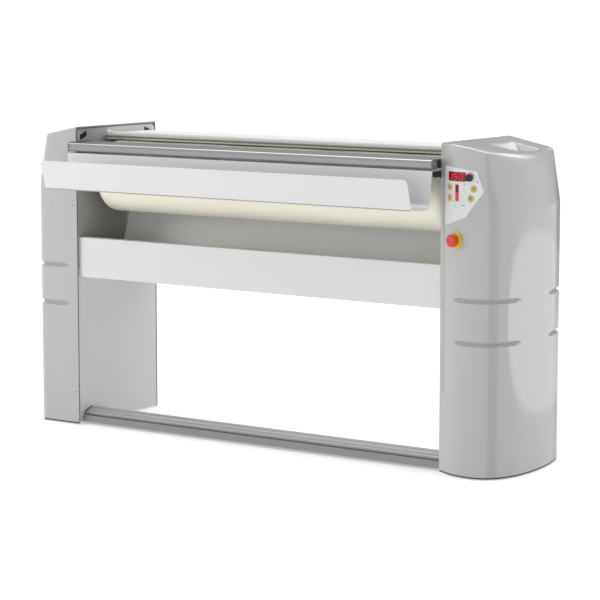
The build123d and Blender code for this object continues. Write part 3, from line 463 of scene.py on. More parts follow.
def columnShell(cfg, plan):
    width, top = cfg["width"], rightHigh.z
    spot, normal, share = evenly(plan, shell["station"])
    fine, fineNormal, _ = evenly(plan, shell["fineStation"])
    slope, lean = math.radians(shell["slope"]), math.radians(cfg["lean"])
    ridge = (width - (top - shell["taperFrom"]) * math.tan(lean)) / (1 - math.tan(slope) * math.tan(lean))
    edge = np.stack([np.minimum(spot[:, 0], ridge), spot[:, 1]], axis=1)
    edgeZ = top - edge[:, 0] * math.tan(slope) + topLift(edge[:, 0], edge[:, 1], cfg)
    low = wallLevels()
    split, restart, each = shell["crownRows"]
    high = np.concatenate([np.linspace(0, split, each), np.linspace(restart, 1.0, each)])
    straight = np.vstack([np.column_stack([spot, np.full(len(spot), z)]) for z in low])
    straightWay = np.tile(np.column_stack([normal, np.zeros(len(spot))]), (len(low), 1))
    rows = []
    for v in high:
        z = shell["turnFrom"] + (edgeZ - shell["turnFrom"]) * v
        t = np.clip((z - shell["taperFrom"]) / (edgeZ - shell["taperFrom"]), 0, 1)[:, None]
        rows.append(np.column_stack([spot * (1 - t) + edge * t, z]))
    wallRows = len(low) + len(high)
    inner = np.column_stack([np.zeros(len(spot)), spot[0, 1] + (spot[-1, 1] - spot[0, 1]) * share])
    near, fewer, more = shell["topRows"]
    across = np.concatenate([np.linspace(0, near, fewer)[1:], np.linspace(near, 1.0, more)[1:]])
    for w in across:
        flat = edge * (1 - w) + inner * w
        lifted = top - flat[:, 0] * math.tan(slope) + topLift(flat[:, 0], flat[:, 1], cfg)
        rows.append(np.column_stack([flat, lifted]))
    shape = (wallRows + len(across), len(spot))
    points, way = settle(np.vstack(rows), fine, fineNormal, cfg, top)
    points, way = np.vstack([straight, points]), np.vstack([straightWay, way])
    atGap = np.zeros(shape, bool)
    atGap[:, 0] = atGap[:, -1] = atGap[-1, :] = True
    atGap = atGap.ravel()
    points[atGap, 0] = 0
    # grooves run out to a point at both ends
    along = np.tile(share, shape[0])
    for level in shell["grooves"]:
        for start, end in cfg["grooveRuns"]:
            ends = np.clip(np.minimum(along - start, end - along) / shell["grooveRunOut"], 0, 1) ** 0.5
            v = np.abs(points[:, 2] - level) / np.maximum(shell["grooveTall"] / 2 * ends, 1e-4)
            cut = shell["grooveDeep"] * ends * np.clip(1 - v, 0, 1) ** shell["grooveCurve"]
            points[:, :2] -= way[:, :2] * cut[:, None]
    if cfg is rightShell:
        points[:, 2] -= trayDepth(points) / math.cos(slope) * (way[:, 2] > tray["facesUp"])
    hidden = points - way * shell["wall"]
    hidden[:shape[1], 2] = shell["floorGap"]
    hidden[atGap, 0] = 0
    points = np.vstack([points, hidden])
    points[:, 0] = cfg["inner"] + cfg["side"] * points[:, 0]
    points[:, 1] += frontY
    count = shape[0] * shape[1]
    grid = np.arange(count).reshape(shape)
    faces = []
    for i in range(shape[0] - 1):
        for j in range(shape[1] - 1):
            quad = [int(q) for q in (grid[i, j], grid[i, j + 1], grid[i + 1, j + 1], grid[i + 1, j])]
            faces += [quad, [q + count for q in reversed(quad)]]
    border = [*grid[0], *grid[1:wallRows, -1], *grid[wallRows:, -1], *grid[-1, -2::-1], *grid[-2:0:-1, 0]]
    for p, q in zip(border, border[1:] + border[:1]):
        faces.append([int(p), int(p + count), int(q + count), int(q)])
    return meshPiece(cfg["name"], points, faces)


def cutAway(piece, cutters):
    # takes round or square cutters out of a closed piece
    for cutter in cutters:
        step = piece.modifiers.new("cut", "BOOLEAN")
        step.object = cutter
        step.solver = "EXACT"
    shown = piece.evaluated_get(bpy.context.evaluated_depsgraph_get())
    cut = bpy.data.meshes.new_from_object(shown)
    piece.modifiers.clear()
    piece.data = cut
    for cutter in cutters:
        bpy.data.objects.remove(cutter)
    piece.data.set_sharp_from_angle(angle=math.radians(sharpEdge))


def disc(u, z, radius, sides=20):
    return [(u + radius * math.cos(2 * math.pi * k / sides), z + radius * math.sin(2 * math.pi * k / sides))
            for k in range(sides)]


def cutterAt(matrix, radius, low, high, sides=32):
    ring = disc(0, 0, radius, sides)
    points = [matrix @ Vector((x, y, z)) for z in (low, high) for x, y in ring]
    faces = [list(range(sides))[::-1], list(range(sides, 2 * sides))]
    faces += [[k, (k + 1) % sides, sides + (k + 1) % sides, sides + k] for k in range(sides)]
    return meshPiece("cutter", points, faces)


def boxCutter(low, high):
    points = [(x, y, z) for z in (low[2], high[2]) for y in (low[1], high[1]) for x in (low[0], high[0])]
    faces = [[0, 2, 3, 1], [4, 5, 7, 6], [0, 1, 5, 4], [2, 6, 7, 3], [0, 4, 6, 2], [1, 3, 7, 5]]
    return meshPiece("cutter", points, faces)


# the dark rubber edge that a moulded skin stands on, its black also painted shade for the shadow gap under
# the skin: insets and heights of its section
sealShade = {"section": ((0.0012, 0.0035), (0.0012, 0.0095), (0.0045, 0.0095), (0.0045, 0.0035)),
        "station": 0.012, "gap": 0.001}


def baseSealShade(name, cfg, plan):
    spot, normal, _ = evenly(plan, sealShade["station"])
    points = np.vstack([np.column_stack([spot - normal * inset, np.full(len(spot), z)])
                        for inset, z in sealShade["section"]])
    points[:, 0] = cfg["inner"] + cfg["side"] * np.maximum(points[:, 0], sealShade["gap"])
    points[:, 1] += frontY
    n = len(spot)
    faces = [[a + k, a + k + 1, b + k + 1, b + k]
             for a, b in ((0, n), (n, 2 * n), (2 * n, 3 * n), (3 * n, 0)) for k in range(n - 1)]
    faces += [[0, n, 2 * n, 3 * n], [4 * n - 1, 3 * n - 1, 2 * n - 1, n - 1]]
    finishPiece(meshPiece(name, points, faces), "rubber_foot", "frame")


frontCurve, leftCurve = rightPlan(), leftPlan()
frontSpots, frontNormals, _ = evenly(frontCurve, shell["frontStation"])


def faceMatrix(u, z, lift=0.0):
    # a frame on the right column's front: its z axis points outwards, y up
    k = int(np.argmin(np.abs(frontSpots[:len(frontSpots) // 3, 0] - u)))
    normal = Vector((*frontNormals[k], 0))
    spot = Vector((rightShell["inner"] + frontSpots[k, 0], frontY + frontSpots[k, 1], z)) + normal * lift
    up = Vector((0, 0, 1))
    across = up.cross(normal)
    return Matrix.Translation(spot) @ Matrix((across, up, normal)).transposed().to_4x4()


panel = {"keys": {"key_plus": (0.050, 0.922), "key_minus": (0.050, 0.888), "key_start": (0.147, 0.921),
                  "key_stop": (0.137, 0.891)},
         "keyHole": 0.0098, "knob": (0.134, 0.955), "knobHole": 0.0033, "stop": (0.082, 0.756),
         "stopHole": 0.0116, "reach": (-0.03, 0.02)}
gland = {"at": (0.120, 0.120), "hole": 0.012, "reach": (-0.02, 0.02)}
notches = {"at": (0.108, 0.356), "half": 0.006, "x": (-0.002, 0.014), "z": (-0.009, 0.010)}

rightColumn = columnShell(rightShell, frontCurve)
openings = [(at, panel["keyHole"]) for at in panel["keys"].values()]
openings += [(panel["knob"], panel["knobHole"]), (panel["stop"], panel["stopHole"])]
holes = [cutterAt(faceMatrix(*at), radius, *panel["reach"]) for at, radius in openings]
glandWay = (Matrix.Translation((rightLow.x + gland["at"][0], backY, gland["at"][1]))
            @ Matrix.Rotation(math.radians(90), 4, "X"))
holes.append(cutterAt(glandWay, gland["hole"], *gland["reach"]))
for away in notches["at"]:
    corners = [(rightLow.x + x, frontY + away + y, rightHigh.z + z)
               for x, y, z in zip(notches["x"], (-notches["half"], notches["half"]), notches["z"])]
    holes.append(boxCutter(*corners))
cutAway(rightColumn, holes)
finishPiece(rightColumn, "column_shell", "frame", "right_column_cover")
leftColumn = columnShell(leftShell, leftCurve)
finishPiece(leftColumn, "column_shell", "frame", "left_column_cover")
# dark edges under both skins, also painted shade for the shadow gap at the floor
baseSealShade("rightBaseSealShade", rightShell, frontCurve)
baseSealShade("leftBaseSealShade", leftShell, leftCurve)
print("columns moulded,", len(rightColumn.data.polygons), "and", len(leftColumn.data.polygons), "faces")

# what is printed or lit on the control panel: film thickness, lifts above the front, sizes in metres
printed = {
    "film": 0.0002, "rings": (1.0, 0.66, 0.33),
    "lit": 0.0018, "ink": 0.0011, "keyInk": 0.0024, "ring": 0.0010,
    "level": (0.083, 0.8935, 0.0125, 0.026), "keyRing": (0.0102, 0.0110),
    "keys": {"key_plus": [(0.0085, 0.0022), (0.0022, 0.0085)], "key_minus": [(0.0085, 0.0022)],
             "key_start": [(0.0028, 0.010)], "key_stop": [(0.0050, 0.0095)]},
    "scale": (0.0125, 0.0160, 20, 160), "lamp": (0.1105, 0.9335), "lampRing": (0.0034, 0.0052, 0, 360),
    "ticks": {"at": (0.0925, 0.884), "size": (0.0022, 0.0007), "step": 0.007, "count": 7},
    "marks": [("disc", 0.160, 0.9425, 0.0022), ("bar", 0.113, 0.917, 0.0012, 0.006),
              ("bar", 0.108, 0.868, 0.014, 0.0016), ("bar", 0.0665, 0.905, 0.0012, 0.010, -0.6),
              ("bar", 0.075, 0.8745, 0.0016, 0.0012), ("disc", 0.075, 0.8640, 0.0020)]}
digits = {"rows": (("b", "c"), ("a", "f", "g", "c", "d"), ("a", "b", "c", "d", "e", "f")),
          "at": (0.0565, 0.0775, 0.1000), "z": 0.9565, "wide": 0.0120, "tall": 0.0185, "stroke": 0.0021,
          "lean": 0.10}


def paneOn(name, outline, lift, slot, look, body="frame"):
    # a thin plate of the given outline (u, z in metres) that lies on the column's front
    middle = np.mean(outline, axis=0)
    rings = [[middle + (np.array(p) - middle) * share for p in outline] for share in printed["rings"]]
    points, faces, n = [], [], len(outline)
    for height in (lift, lift - printed["film"]):
        for ring in rings:
            points += [faceMatrix(u, z, height).translation for u, z in ring]
        points.append(faceMatrix(*middle, height).translation)
    pairs = [(k, (k + 1) % n) for k in range(n)]
    for half in (0, 3 * n + 1):
        made = [[half + r * n + k, half + r * n + m, half + (r + 1) * n + m, half + (r + 1) * n + k]
                for r in range(2) for k, m in pairs]
        made += [[half + 2 * n + k, half + 2 * n + m, half + 3 * n] for k, m in pairs]
        faces += [face if half == 0 else face[::-1] for face in made]
    faces += [[k, 3 * n + 1 + k, 3 * n + 1 + m, m] for k, m in pairs]
    piece = finishPiece(meshPiece(name, points, faces), slot, body)
    piece.data.materials[0] = look


def bar(u, z, wide, tall, lean=0.0):
    # corners of an upright or leaning bar, subdivided so that it follows the curve
    w, t = wide / 2, tall / 2
    corners = [(-w, -t), (0, -t), (w, -t), (w, 0), (w, t), (0, t), (-w, t), (-w, 0)]
    return [(u + x + lean * y, z + y) for x, y in corners]


def strip(name, u, z, band, look, lift, steps=14):
    # a printed arc, as a curved band of quads
    inner, outer, start, end = band
    points, faces = [], []
    for k in range(steps + 1):
        t = math.radians(start + (end - start) * k / steps)
        for radius in (inner, outer):
            for height in (lift, lift - printed["film"]):
                spot = faceMatrix(u + radius * math.cos(t), z + radius * math.sin(t), height)
                points.append(spot.translation)
    for k in range(steps):
        a, b = 4 * k, 4 * k + 4
        faces += [[a, a + 2, b + 2, b], [a + 1, b + 1, b + 3, a + 3], [a, b, b + 1, a + 1],
                  [a + 2, a + 3, b + 3, b + 2]]
    faces += [[0, 1, 3, 2], [4 * steps, 4 * steps + 2, 4 * steps + 3, 4 * steps + 1]]
    piece = finishPiece(meshPiece(name, points, faces), "overlay_film", "frame")
    piece.data.materials[0] = look


def lightSegments(look):
    # the lit strokes of a three-digit display
    w, h, s = digits["wide"], digits["tall"], digits["stroke"]
    place = {"a": (0, h / 2, w - s, s), "g": (0, 0, w - s, s), "d": (0, -h / 2, w - s, s),
             "f": (-w / 2, h / 4, s, h / 2 - s / 2), "b": (w / 2, h / 4, s, h / 2 - s / 2),
             "e": (-w / 2, -h / 4, s, h / 2 - s / 2), "c": (w / 2, -h / 4, s, h / 2 - s / 2)}
    for column, (centre, lit) in enumerate(zip(digits["at"], digits["rows"])):
        for key in lit:
            x, y, wide, tall = place[key]
            outline = bar(centre + x + digits["lean"] * y, digits["z"] + y, wide, tall, digits["lean"])
            paneOn(f"digit{column}{key}", outline, printed["lit"], "display_red", look)


def glowing(name, color, power):
    return plain(name, Base_Color=(*color, 1), Roughness=0.3, Emission_Color=(*color, 1),
                 Emission_Strength=power)


litRed = glowing("litRed", (0.66, 0.040, 0.055), 0.26)
litSoft = glowing("litSoft", (0.66, 0.030, 0.055), 0.18)
printInk = glowing("printInk", (0.09, 0.085, 0.08), 0.0)
printRed = glowing("printRed", (0.55, 0.035, 0.06), 0.0)
lampGlow = glowing("lampGlow", (0.80, 0.50, 0.22), 0.0)
lightSegments(litRed)
paneOn("levelLit", bar(*printed["level"]), printed["lit"], "display_red", litSoft)
for name, at in panel["keys"].items():
    for number, size in enumerate(printed["keys"][name]):
        paneOn(f"{name}Mark{number}", bar(*at, *size), printed["keyInk"], "key_yellow", printInk, name)
    strip(f"{name}Ring", *at, (*printed["keyRing"], 0, 360), printInk, printed["ring"], 28)
strip("speedScale", *panel["knob"], printed["scale"], printRed, printed["ink"])
for number, (form, *sizes) in enumerate(printed["marks"]):
    outline = disc(*sizes) if form == "disc" else bar(*sizes)
    paneOn(f"printedMark{number}", outline, printed["ink"], "overlay_film", printInk)
strip("lampRing", *printed["lamp"], printed["lampRing"], lampGlow, printed["ink"], 24)
ticks = printed["ticks"]
for number in range(ticks["count"]):
    outline = bar(ticks["at"][0], ticks["at"][1] + ticks["step"] * number, *ticks["size"])
    paneOn(f"levelTick{number}", outline, printed["ink"], "overlay_film", printInk)
print("control panel printed")


# guard, hood, lip edge, foot bar skirt and roller cover
def extrude(name, profile, start, end, body, look, *replaced, slot="aluminium"):
    # a length of constant section along the row, its profile in (y, z)
    n = len(profile)
    points = [(x, y, z) for x in (start, end) for y, z in profile]
    faces = [list(range(n)), [n + k for k in reversed(range(n))]]
    faces += [[k, n + k, n + (k + 1) % n, (k + 1) % n] for k in range(n)]
    piece = finishPiece(meshPiece(name, points, faces, sharpFold), slot, body, *replaced)
    piece.data.materials[0] = look


def arcOf(centre, radius, start, end, steps=8):
    turn = [math.radians(start + (end - start) * k / steps) for k in range(steps + 1)]
    return [(centre[0] + radius * math.cos(t), centre[1] + radius * math.sin(t)) for t in turn]


def upright(front, thick, top, low, lean=0.0):
    # the section of a thin upright strip
    return [(front + lean, top), (front + thick + lean, top), (front + thick, low), (front, low)]


guardLow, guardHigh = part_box("guard_bar")
guard = {"front": guardLow.y, "low": guardLow.z, "high": guardHigh.z, "back": guardHigh.y, "drop": 0.0040,
         "nose": 0.032, "bevel": 0.0026, "undercut": (0.006, 0.0055), "ledge": (0.0012, 0.0165, 0.0168),
         "face": (0.0020, 0.0045), "lap": 0.0070, "sheet": 0.0008}
guardTop = {"lap": 0.0072, "under": 0.0006, "thick": 0.0025, "lip": 0.0084, "lipWall": 0.0030,
            "nib": 0.0020, "inset": 0.001}
guardEar = {"low": 0.984, "tip": -0.1425, "round": (-0.142, 0.993, 0.008), "turn": (-90, 70),
            "top": (-0.146, 0.006), "lap": (0.001, 0.007), "from": 0.0045, "to": 0.0105}


def guardProfile():
    # the bar's front edge is dropped below its box, because the top rises to the back
    f, low, high = guard["front"], guard["low"], guard["high"] - guard["drop"]
    nose, (cutY, cutZ), (faceIn, faceTop) = f + guard["nose"], guard["undercut"], guard["face"]
    ledgeIn, ledgeLow, ledgeHigh = guard["ledge"]
    bevel, lap, under = guard["bevel"], f + guard["lap"], high - guard["sheet"]
    return [(f, low + cutZ), (f + ledgeIn, low + ledgeLow), (f + faceIn, low + ledgeHigh),
            (f + faceIn, high - faceTop),
            *arcOf((f + faceIn + bevel, high - bevel), bevel, 180, 90, 5),
            (lap, high), (lap, under), (nose, under), (nose, low), (f + cutY, low)]


def shelfProfile():
    # the shelf rises gently from the bar's front edge to its back one
    back, high, lip, nib = guard["back"], guard["high"], guardTop["lip"], guardTop["nib"]
    start, inner = guard["front"] + guardTop["lap"], back - guardTop["lipWall"]
    front = high - guard["drop"] - guardTop["under"]
    return [(start, front), (back - nib, high), (back, high - nib), (back, high - lip), (inner, high - lip),
            (inner, high - guardTop["thick"]), (start, front - guardTop["thick"])]


# a darker copy of the guard's aluminium: painted shade for the shelf's dim reflection
shelfShadedAluminium = metal("shelfShadedAluminium", (0.155, 0.155, 0.16), 0.40, contrast=0.08)
extrude("guardBar", guardProfile(), guardLow.x, guardHigh.x, "guard", ownFinishes["guard_bar"], "guard_bar")
inset = guardTop["inset"]
extrude("guardShelf", shelfProfile(), guardLow.x + inset, guardHigh.x - inset, "guard", shelfShadedAluminium)
earStart = guard["front"] + guard["nose"] - guardEar["lap"][0]
ear = [(earStart, guardEar["low"]), (guardEar["tip"], guardEar["low"]),
       *arcOf(guardEar["round"][:2], guardEar["round"][2], *guardEar["turn"], 6),
       (guardEar["top"][0], guard["high"] - guardEar["top"][1]),
       (earStart, guard["high"] - guardEar["lap"][1])]
for number, (end, inward) in enumerate(((guardLow.x, 1), (guardHigh.x, -1))):
    first, last = (end + inward * guardEar[key] for key in ("from", "to"))
    extrude(f"guardLug{number}", ear, first, last, "guard", finishes["aluminium"])

hoodLow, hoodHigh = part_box("rear_hood")
hoodSheet = {"thick": 0.002, "curl": 0.020, "nose": (0.0055, 0.0065), "brow": (0.016, 0.0115, 162, 100),
             "flat": ((0.040, 0.0004), (0.060, 0.002)), "bend": 0.030, "flange": 0.014,
             "inside": ((0.016, 0.0035), (0.003, 0.007))}
bead = {"at": (-0.3040, 0.8550), "radius": 0.0022, "turn": (0, 330), "inset": 0.004}
# a cream strip hung under the hood over a gap that is only shade: its colour paints the roller as seen in
# the hood's shade
rollerShadeStrip = {"front": 0.0015, "thick": 0.0025, "lean": 0.0005, "top": 0.0100, "low": 0.0215, "inset": 0.002}
# a thin dark grey strip under the hood's nose: painted shade for the shadow beneath the nose
noseShadeStrip = {"front": 0.0002, "thick": 0.0010, "lean": 0.0, "top": 0.0095, "low": 0.0158, "inset": 0.002}
skirt = {"front": 0.0002, "thick": 0.0012, "top": 0.0100, "low": 0.0008, "inset": 0.001}
# a thin dark grey sheet on the left column's inner plate: painted shade for the trough's shadow there
shadeLiner = {"front": -0.1370, "wide": 0.2770, "top": 0.966, "low": 0.560, "thick": 0.0005}


def hoodProfile():
    # a bent sheet with a rolled nose, outer face first and then the inner one
    front, top, back, low = hoodLow.y, hoodHigh.z, hoodHigh.y, hoodLow.z
    thick, flange, (nose, noseDrop) = hoodSheet["thick"], hoodSheet["flange"], hoodSheet["nose"]
    brow, browDrop, *browTurn = hoodSheet["brow"]
    bend, (flatFrom, flatTo) = hoodSheet["bend"], hoodSheet["flat"]
    curl, centre = (front + hoodSheet["curl"], top - noseDrop - nose), (back - bend, top - bend - thick)
    outer = [curl] + arcOf((front + nose, top - noseDrop), nose, 270, 180, 5)
    outer += arcOf((front + brow, top - browDrop), brow, *browTurn, 5)
    outer += [(front + flatFrom[0], top - flatFrom[1]), (back - flatTo[0], top - flatTo[1])]
    outer += arcOf(centre, bend, 90, 0, 10) + [(back, low), (back - flange, low)]
    inner = [(back - flange, low + thick), (back - thick, low + thick)]
    inner += arcOf(centre, bend - thick, 0, 90, 10)
    inner += [(front + y, top - z) for y, z in hoodSheet["inside"]]
    return outer + inner + [(curl[0], curl[1] + thick)]


extrude("hoodSkin", hoodProfile(), hoodLow.x, hoodHigh.x, "frame",
        paint("hoodEnamel", (0.86, 0.86, 0.845), 0.38), "rear_hood", slot="grey_sheet")
# the bead under the lip's fold is dark grey: painted shade for the shadow line under the lip
extrude("lipBead", arcOf(bead["at"], bead["radius"], *bead["turn"], 11), hoodLow.x + bead["inset"],
        hoodHigh.x - bead["inset"], "frame", paint("lipPaintedShade", (0.27, 0.27, 0.265), 0.5), slot="grey_sheet")
# cream colour standing in for the shaded roller under the hood: painted shade
rollerShadeFelt = paint("rollerShadeFelt", (0.84, 0.80, 0.64), 0.95, grain=500.0, bump=0.3)
# dark grey painted shade for the strip under the hood's nose
noseShadeGrey = paint("noseShadeGrey", (0.30, 0.30, 0.28), 0.8)
for name, form, look in (("hoodFelt", rollerShadeStrip, rollerShadeFelt), ("hoodSeal", noseShadeStrip, noseShadeGrey)):
    top, low = hoodHigh.z - form["top"], hoodHigh.z - form["low"]
    section = upright(hoodLow.y + form["front"], form["thick"], top, low, form["lean"])
    extrude(name, section, hoodLow.x + form["inset"], hoodHigh.x - form["inset"], "frame", look,
            slot="lagging")

# the tread's front edge turns down into the foot channel
treadLow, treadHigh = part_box("pedal_tread")
section = upright(treadLow.y + skirt["front"], skirt["thick"],
                  treadLow.z + skirt["top"], treadLow.z + skirt["low"])
extrude("treadSkirt", section, treadLow.x + skirt["inset"], treadHigh.x - skirt["inset"], "pedal",
        ownFinishes["pedal_tread"])

# a grey gasket follows the moulded skin's rim on the left side plate; its dark grey is partly painted shade
# for the shadow gap between skin and plate
rim = {"front": leftLow.y + 0.0015, "rear": 0.3095, "top": rightHigh.z - 0.0058, "low": 0.012,
       "wide": 0.0026, "round": 0.012, "thick": 0.0014}


def rimPath(inset):
    r, top = rim["round"] - inset, rim["top"] - inset
    front, rear = rim["front"] + inset, rim["rear"] - inset
    corners = arcOf((front + r, top - r), r, 180, 90, 6) + arcOf((rear - r, top - r), r, 90, 0, 6)
    return [(front, rim["low"]), *corners, (rear, rim["low"])]


def rimGasketShade():
    outer, inner = rimPath(0.0), rimPath(rim["wide"])
    n = len(outer)
    points = [(x, y, z) for x in (leftHigh.x, leftHigh.x + rim["thick"])
              for path in (outer, inner) for y, z in path]
    faces = [[a + k, a + k + 1, b + k + 1, b + k] for k in range(n - 1)
             for a, b in ((0, n), (n, 3 * n), (3 * n, 2 * n), (2 * n, 0))]
    faces += [[0, n, 3 * n, 2 * n], [n - 1, 3 * n - 1, 4 * n - 1, 2 * n - 1]]
    piece = finishPiece(meshPiece("leftGasketShade", points, faces), "rubber_foot", "frame")
    # dark grey, partly painted shade for the shadow in the gap
    piece.data.materials[0] = paint("gasketGapShade", (0.12, 0.12, 0.12), 0.6)


rimGasketShade()
# painted shade: a dark grey sheet laid on the left inner plate
section = upright(shadeLiner["front"], shadeLiner["wide"], shadeLiner["top"], shadeLiner["low"])
linerShadeGrey = paint("linerShadeGrey", (0.34, 0.34, 0.325), 0.42)
extrude("plateShadeLiner", section, leftHigh.x, leftHigh.x + shadeLiner["thick"], "frame", linerShadeGrey,
        slot="side_steel")

padLow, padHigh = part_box("roller_padding")
cover = {"start": padLow.x, "end": padHigh.x + 0.020, "radius": 0.1249, "axis": (0.035, 0.880),
         "round": (0.018, 0.030), "shoulderPleat": 0.25,
         "startDraw": ((0.0022, 0.072, 1.0), (0.0008, 0.085, 0.6)),
         "endDraw": ((0.0010, 0.080, 0.6), (0.0035, 0.072, 1.0)), "pleats": 26, "pleatDeep": 0.0010,
         "swell": 0.0005, "swellEvery": 0.35, "around": 160, "along": 70}


def rollerCover():
    # a cloth-covered roller: soft shoulders, the cloth drawn in over both ends in small pleats
    start, end, radius = cover["start"], cover["end"], cover["radius"]
    (first, last), pinch = cover["round"], cover["shoulderPleat"]
    path = [(start + x, r, pleat) for x, r, pleat in cover["startDraw"]]
    path += [(x, r, pinch) for x, r in arcOf((start + first, radius - first), first, 180, 90, 10)]
    path += [(x, radius, 0.0) for x in np.linspace(start + first, end - last, cover["along"])[1:]]
    path += [(x, r, pinch) for x, r in arcOf((end - last, radius - last), last, 90, 0, 12)[1:]]
    path += [(end - x, r, pleat) for x, r, pleat in cover["endDraw"]]
    points, n = [], cover["around"]
    y, z = cover["axis"]
    for x, r, pleat in path:
        inward = 1 if x < 0 else -1
        dip = cover["swell"] * (1 - math.cos(2 * math.pi * x / cover["swellEvery"])) * (pleat == 0)
        for k in range(n):
            t = 2 * math.pi * k / n
            fold = pleat * cover["pleatDeep"] * (1 + math.sin(cover["pleats"] * t)) * inward
            points.append((x + fold, y + (r - dip) * math.cos(t), z + (r - dip) * math.sin(t)))
    pairs = [(k, (k + 1) % n) for k in range(n)]
    last = (len(path) - 1) * n
    faces = [[row + k, row + m, row + n + m, row + n + k] for row in range(0, last, n) for k, m in pairs]
    faces += [[k, last + k, last + m, m] for k, m in pairs]
    return finishPiece(meshPiece("rollerCover", points, faces), "roller_cloth", "roller", "roller_padding")


rollerCover()
print("guard, hood and roller dressed")

# floor and studio light: turn is measured from the camera's side, clockwise from above, tilt upwards
floorLook = {"reach": 400.0, "color": 0.85, "glow": 0.30}
flagPlace = {"x": (-0.76, 0.69), "y": (-0.15, 0.035), "z": 1.095}
studio = {"room": 1.0, "front": {"turn": (60, 125), "level": 0.66},
          "beside": {"turn": (50, 100), "level": 0.90, "tilt": (6, 16)},
          "gap": {"turn": (30, 19, 6), "level": 0.0, "tilt": (20, 34)},
          "flag": {"turn": (162, 18, 3), "level": 0.15, "low": (-6, -9), "lowLevel": 0.7, "tilt": (-2, 1)},
          "back": {"turn": (120, 148), "level": 0.48, "low": (-4, -1), "tilt": (23, 33)},
          "high": {"tilt": (10, 40), "gain": 0.25},
          "strip": {"at": (120, -8), "half": (48, 2.2), "edge": (0.97, 1.03), "turn": (65, 150),
                    "glow": (1.5, 0.25)},
          "rear": {"turn": (152, 18, 8), "tilt": (34, 8, 5), "glow": 2.2}}
# lamps: place, aim, size, power, and whether the lamp shows in gloss or lights surfaces
lamps = {"sideRight": ((3.6, 0.6, 1.6), (0.9, 0.1, 0.6), (2.0, 2.0), 16, False),
         "keyLeft": ((-3.0, -2.6, 1.6), (-0.6, 0, 0.7), (1.6, 1.6), 42, False),
         "lowFill": ((0.6, -3.6, 0.9), (0, 0.2, 0.7), (2.4, 0.8), 14, False),
         "ceiling": ((0, 0, 4.5), (0, 0, 0), (7.0, 7.0), 420, True)}


def stagePlane(name, xs, ys, z, material):
    data = bpy.data.meshes.new(name)
    corners = [(xs[0], ys[0], z), (xs[1], ys[0], z), (xs[1], ys[1], z), (xs[0], ys[1], z)]
    data.from_pydata(corners, [], [(0, 1, 2, 3)])
    data.materials.append(material)
    plane = bpy.data.objects.new(name, data)
    scene.collection.objects.link(plane)
    plane.visible_glossy = False
    return plane


def paleFloor():
    # glossy paint doesn't mirror the floor but the studio, as over a white sweep
    floorPaint = plain("floorPaint", Base_Color=(*[floorLook["color"]] * 3, 1), Roughness=1.0,
                       Specular_IOR_Level=0.0, Emission_Color=(1, 1, 1, 1),
                       Emission_Strength=floorLook["glow"])
    reach = floorLook["reach"]
    stagePlane("studioFloor", (-reach, reach), (-reach, reach), 0, floorPaint)


def softbox(name, place, aim, size, power, mirrored):
    data = bpy.data.lights.new(name, "AREA")
    data.shape = "RECTANGLE"
    data.size, data.size_y = size
    data.energy = power
    lamp = bpy.data.objects.new(name, data)
    lamp.location = place
    lamp.rotation_euler = (Vector(aim) - Vector(place)).to_track_quat("-Z", "Y").to_euler()
    lamp.visible_glossy, lamp.visible_diffuse = mirrored, not mirrored
    scene.collection.objects.link(lamp)


def rollerFlag():
    # an unseen flag over the roller keeps the top light off it, as the real hood's shade does
    black = plain("flagBlack", Base_Color=(0.02, 0.02, 0.02, 1))
    flag = stagePlane("rollerFlag", flagPlace["x"], flagPlace["y"], flagPlace["z"], black)
    flag.visible_camera = False


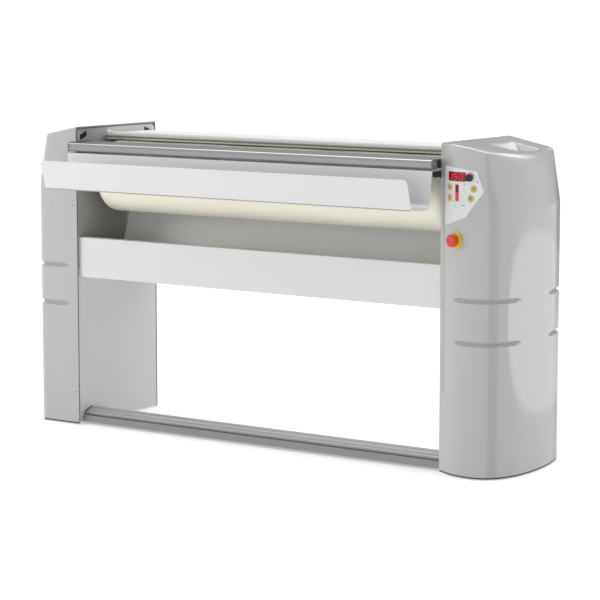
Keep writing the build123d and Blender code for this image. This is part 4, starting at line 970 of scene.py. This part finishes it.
def paleStudio():
    # a white room seen by direction, with dimmed and brighter zones that glossy paint mirrors
    world = bpy.data.worlds.new("studio")
    scene.world = world
    world.use_nodes = True
    tree = world.node_tree
    way = put(tree, "ShaderNodeTexCoord").outputs["Generated"]
    swing = -math.radians(cameraSpot["turn"] - 90)
    level = put(tree, "ShaderNodeVectorRotate", {"Vector": way, "Angle": swing}, rotation_type="Z_AXIS")
    part = put(tree, "ShaderNodeSeparateXYZ", {0: level.outputs[0]}).outputs
    turn = calc(tree, "MULTIPLY", calc(tree, "ARCTAN2", part["Y"], part["X"]), 180 / math.pi)
    tilt = calc(tree, "MULTIPLY", calc(tree, "ARCSINE", part["Z"]), 180 / math.pi)

    def ramp(value, ends, low, high):
        span = {"Value": value, "From Min": ends[0], "From Max": ends[1], "To Min": low, "To Max": high}
        return put(tree, "ShaderNodeMapRange", span, interpolation_type="SMOOTHSTEP").outputs["Result"]

    def awayFrom(value, zone, inside):
        middle, half, soft = zone
        far = calc(tree, "ABSOLUTE", calc(tree, "SUBTRACT", value, middle))
        return ramp(far, (half - soft, half + soft), inside, 1.0)

    def brightest(*values):
        top = values[0]
        for value in values[1:]:
            top = calc(tree, "MAXIMUM", top, value)
        return top

    beside, gap, flag, back = (studio[key] for key in ("beside", "gap", "flag", "back"))
    rear, high, strips = studio["rear"], studio["high"], studio["strip"]
    aside = calc(tree, "ABSOLUTE", turn)
    front = ramp(aside, studio["front"]["turn"], studio["front"]["level"], studio["room"])
    gapHere = brightest(awayFrom(turn, gap["turn"], gap["level"]), ramp(tilt, gap["tilt"], 0.0, 1.0))
    flagHere = brightest(awayFrom(turn, flag["turn"], flag["level"]),
                         ramp(tilt, flag["low"], 0.0, flag["lowLevel"]), ramp(tilt, flag["tilt"], 0.0, 1.0))
    besideHere = brightest(ramp(turn, beside["turn"], 1.0, beside["level"]),
                           ramp(tilt, beside["tilt"], 0.0, 1.0))
    backHere = brightest(ramp(aside, back["turn"], 1.0, back["level"]), ramp(tilt, back["low"], 1.0, 0.0),
                         ramp(tilt, back["tilt"], 0.0, 1.0))
    shade = calc(tree, "MULTIPLY", calc(tree, "MULTIPLY", gapHere, flagHere),
                 calc(tree, "MULTIPLY", besideHere, backHere))
    across, along = (calc(tree, "DIVIDE", calc(tree, "SUBTRACT", value, middle), half)
                     for value, middle, half in zip((turn, tilt), strips["at"], strips["half"]))
    squares = calc(tree, "MULTIPLY_ADD", across, across, calc(tree, "MULTIPLY", along, along))
    glow = calc(tree, "MULTIPLY", ramp(calc(tree, "SQRT", squares), strips["edge"], 1.0, 0.0),
                ramp(turn, strips["turn"], *strips["glow"]))
    rearHere = calc(tree, "MULTIPLY", calc(tree, "SUBTRACT", 1.0, awayFrom(turn, rear["turn"], 0.0)),
                    calc(tree, "SUBTRACT", 1.0, awayFrom(tilt, rear["tilt"], 0.0)))
    glow = calc(tree, "MULTIPLY_ADD", rearHere, rear["glow"], glow)
    glow = calc(tree, "MULTIPLY_ADD", ramp(tilt, high["tilt"], 0.0, 1.0), high["gain"], glow)
    background = tree.nodes["Background"]
    background.inputs["Color"].default_value = (1, 1, 1, 1)
    tree.links.new(calc(tree, "MULTIPLY_ADD", shade, front, glow), background.inputs["Strength"])


paleFloor()
rollerFlag()
paleStudio()
for name, lamp in lamps.items():
    softbox(name, *lamp)
scene.view_settings.view_transform = "Standard"
print("studio set")
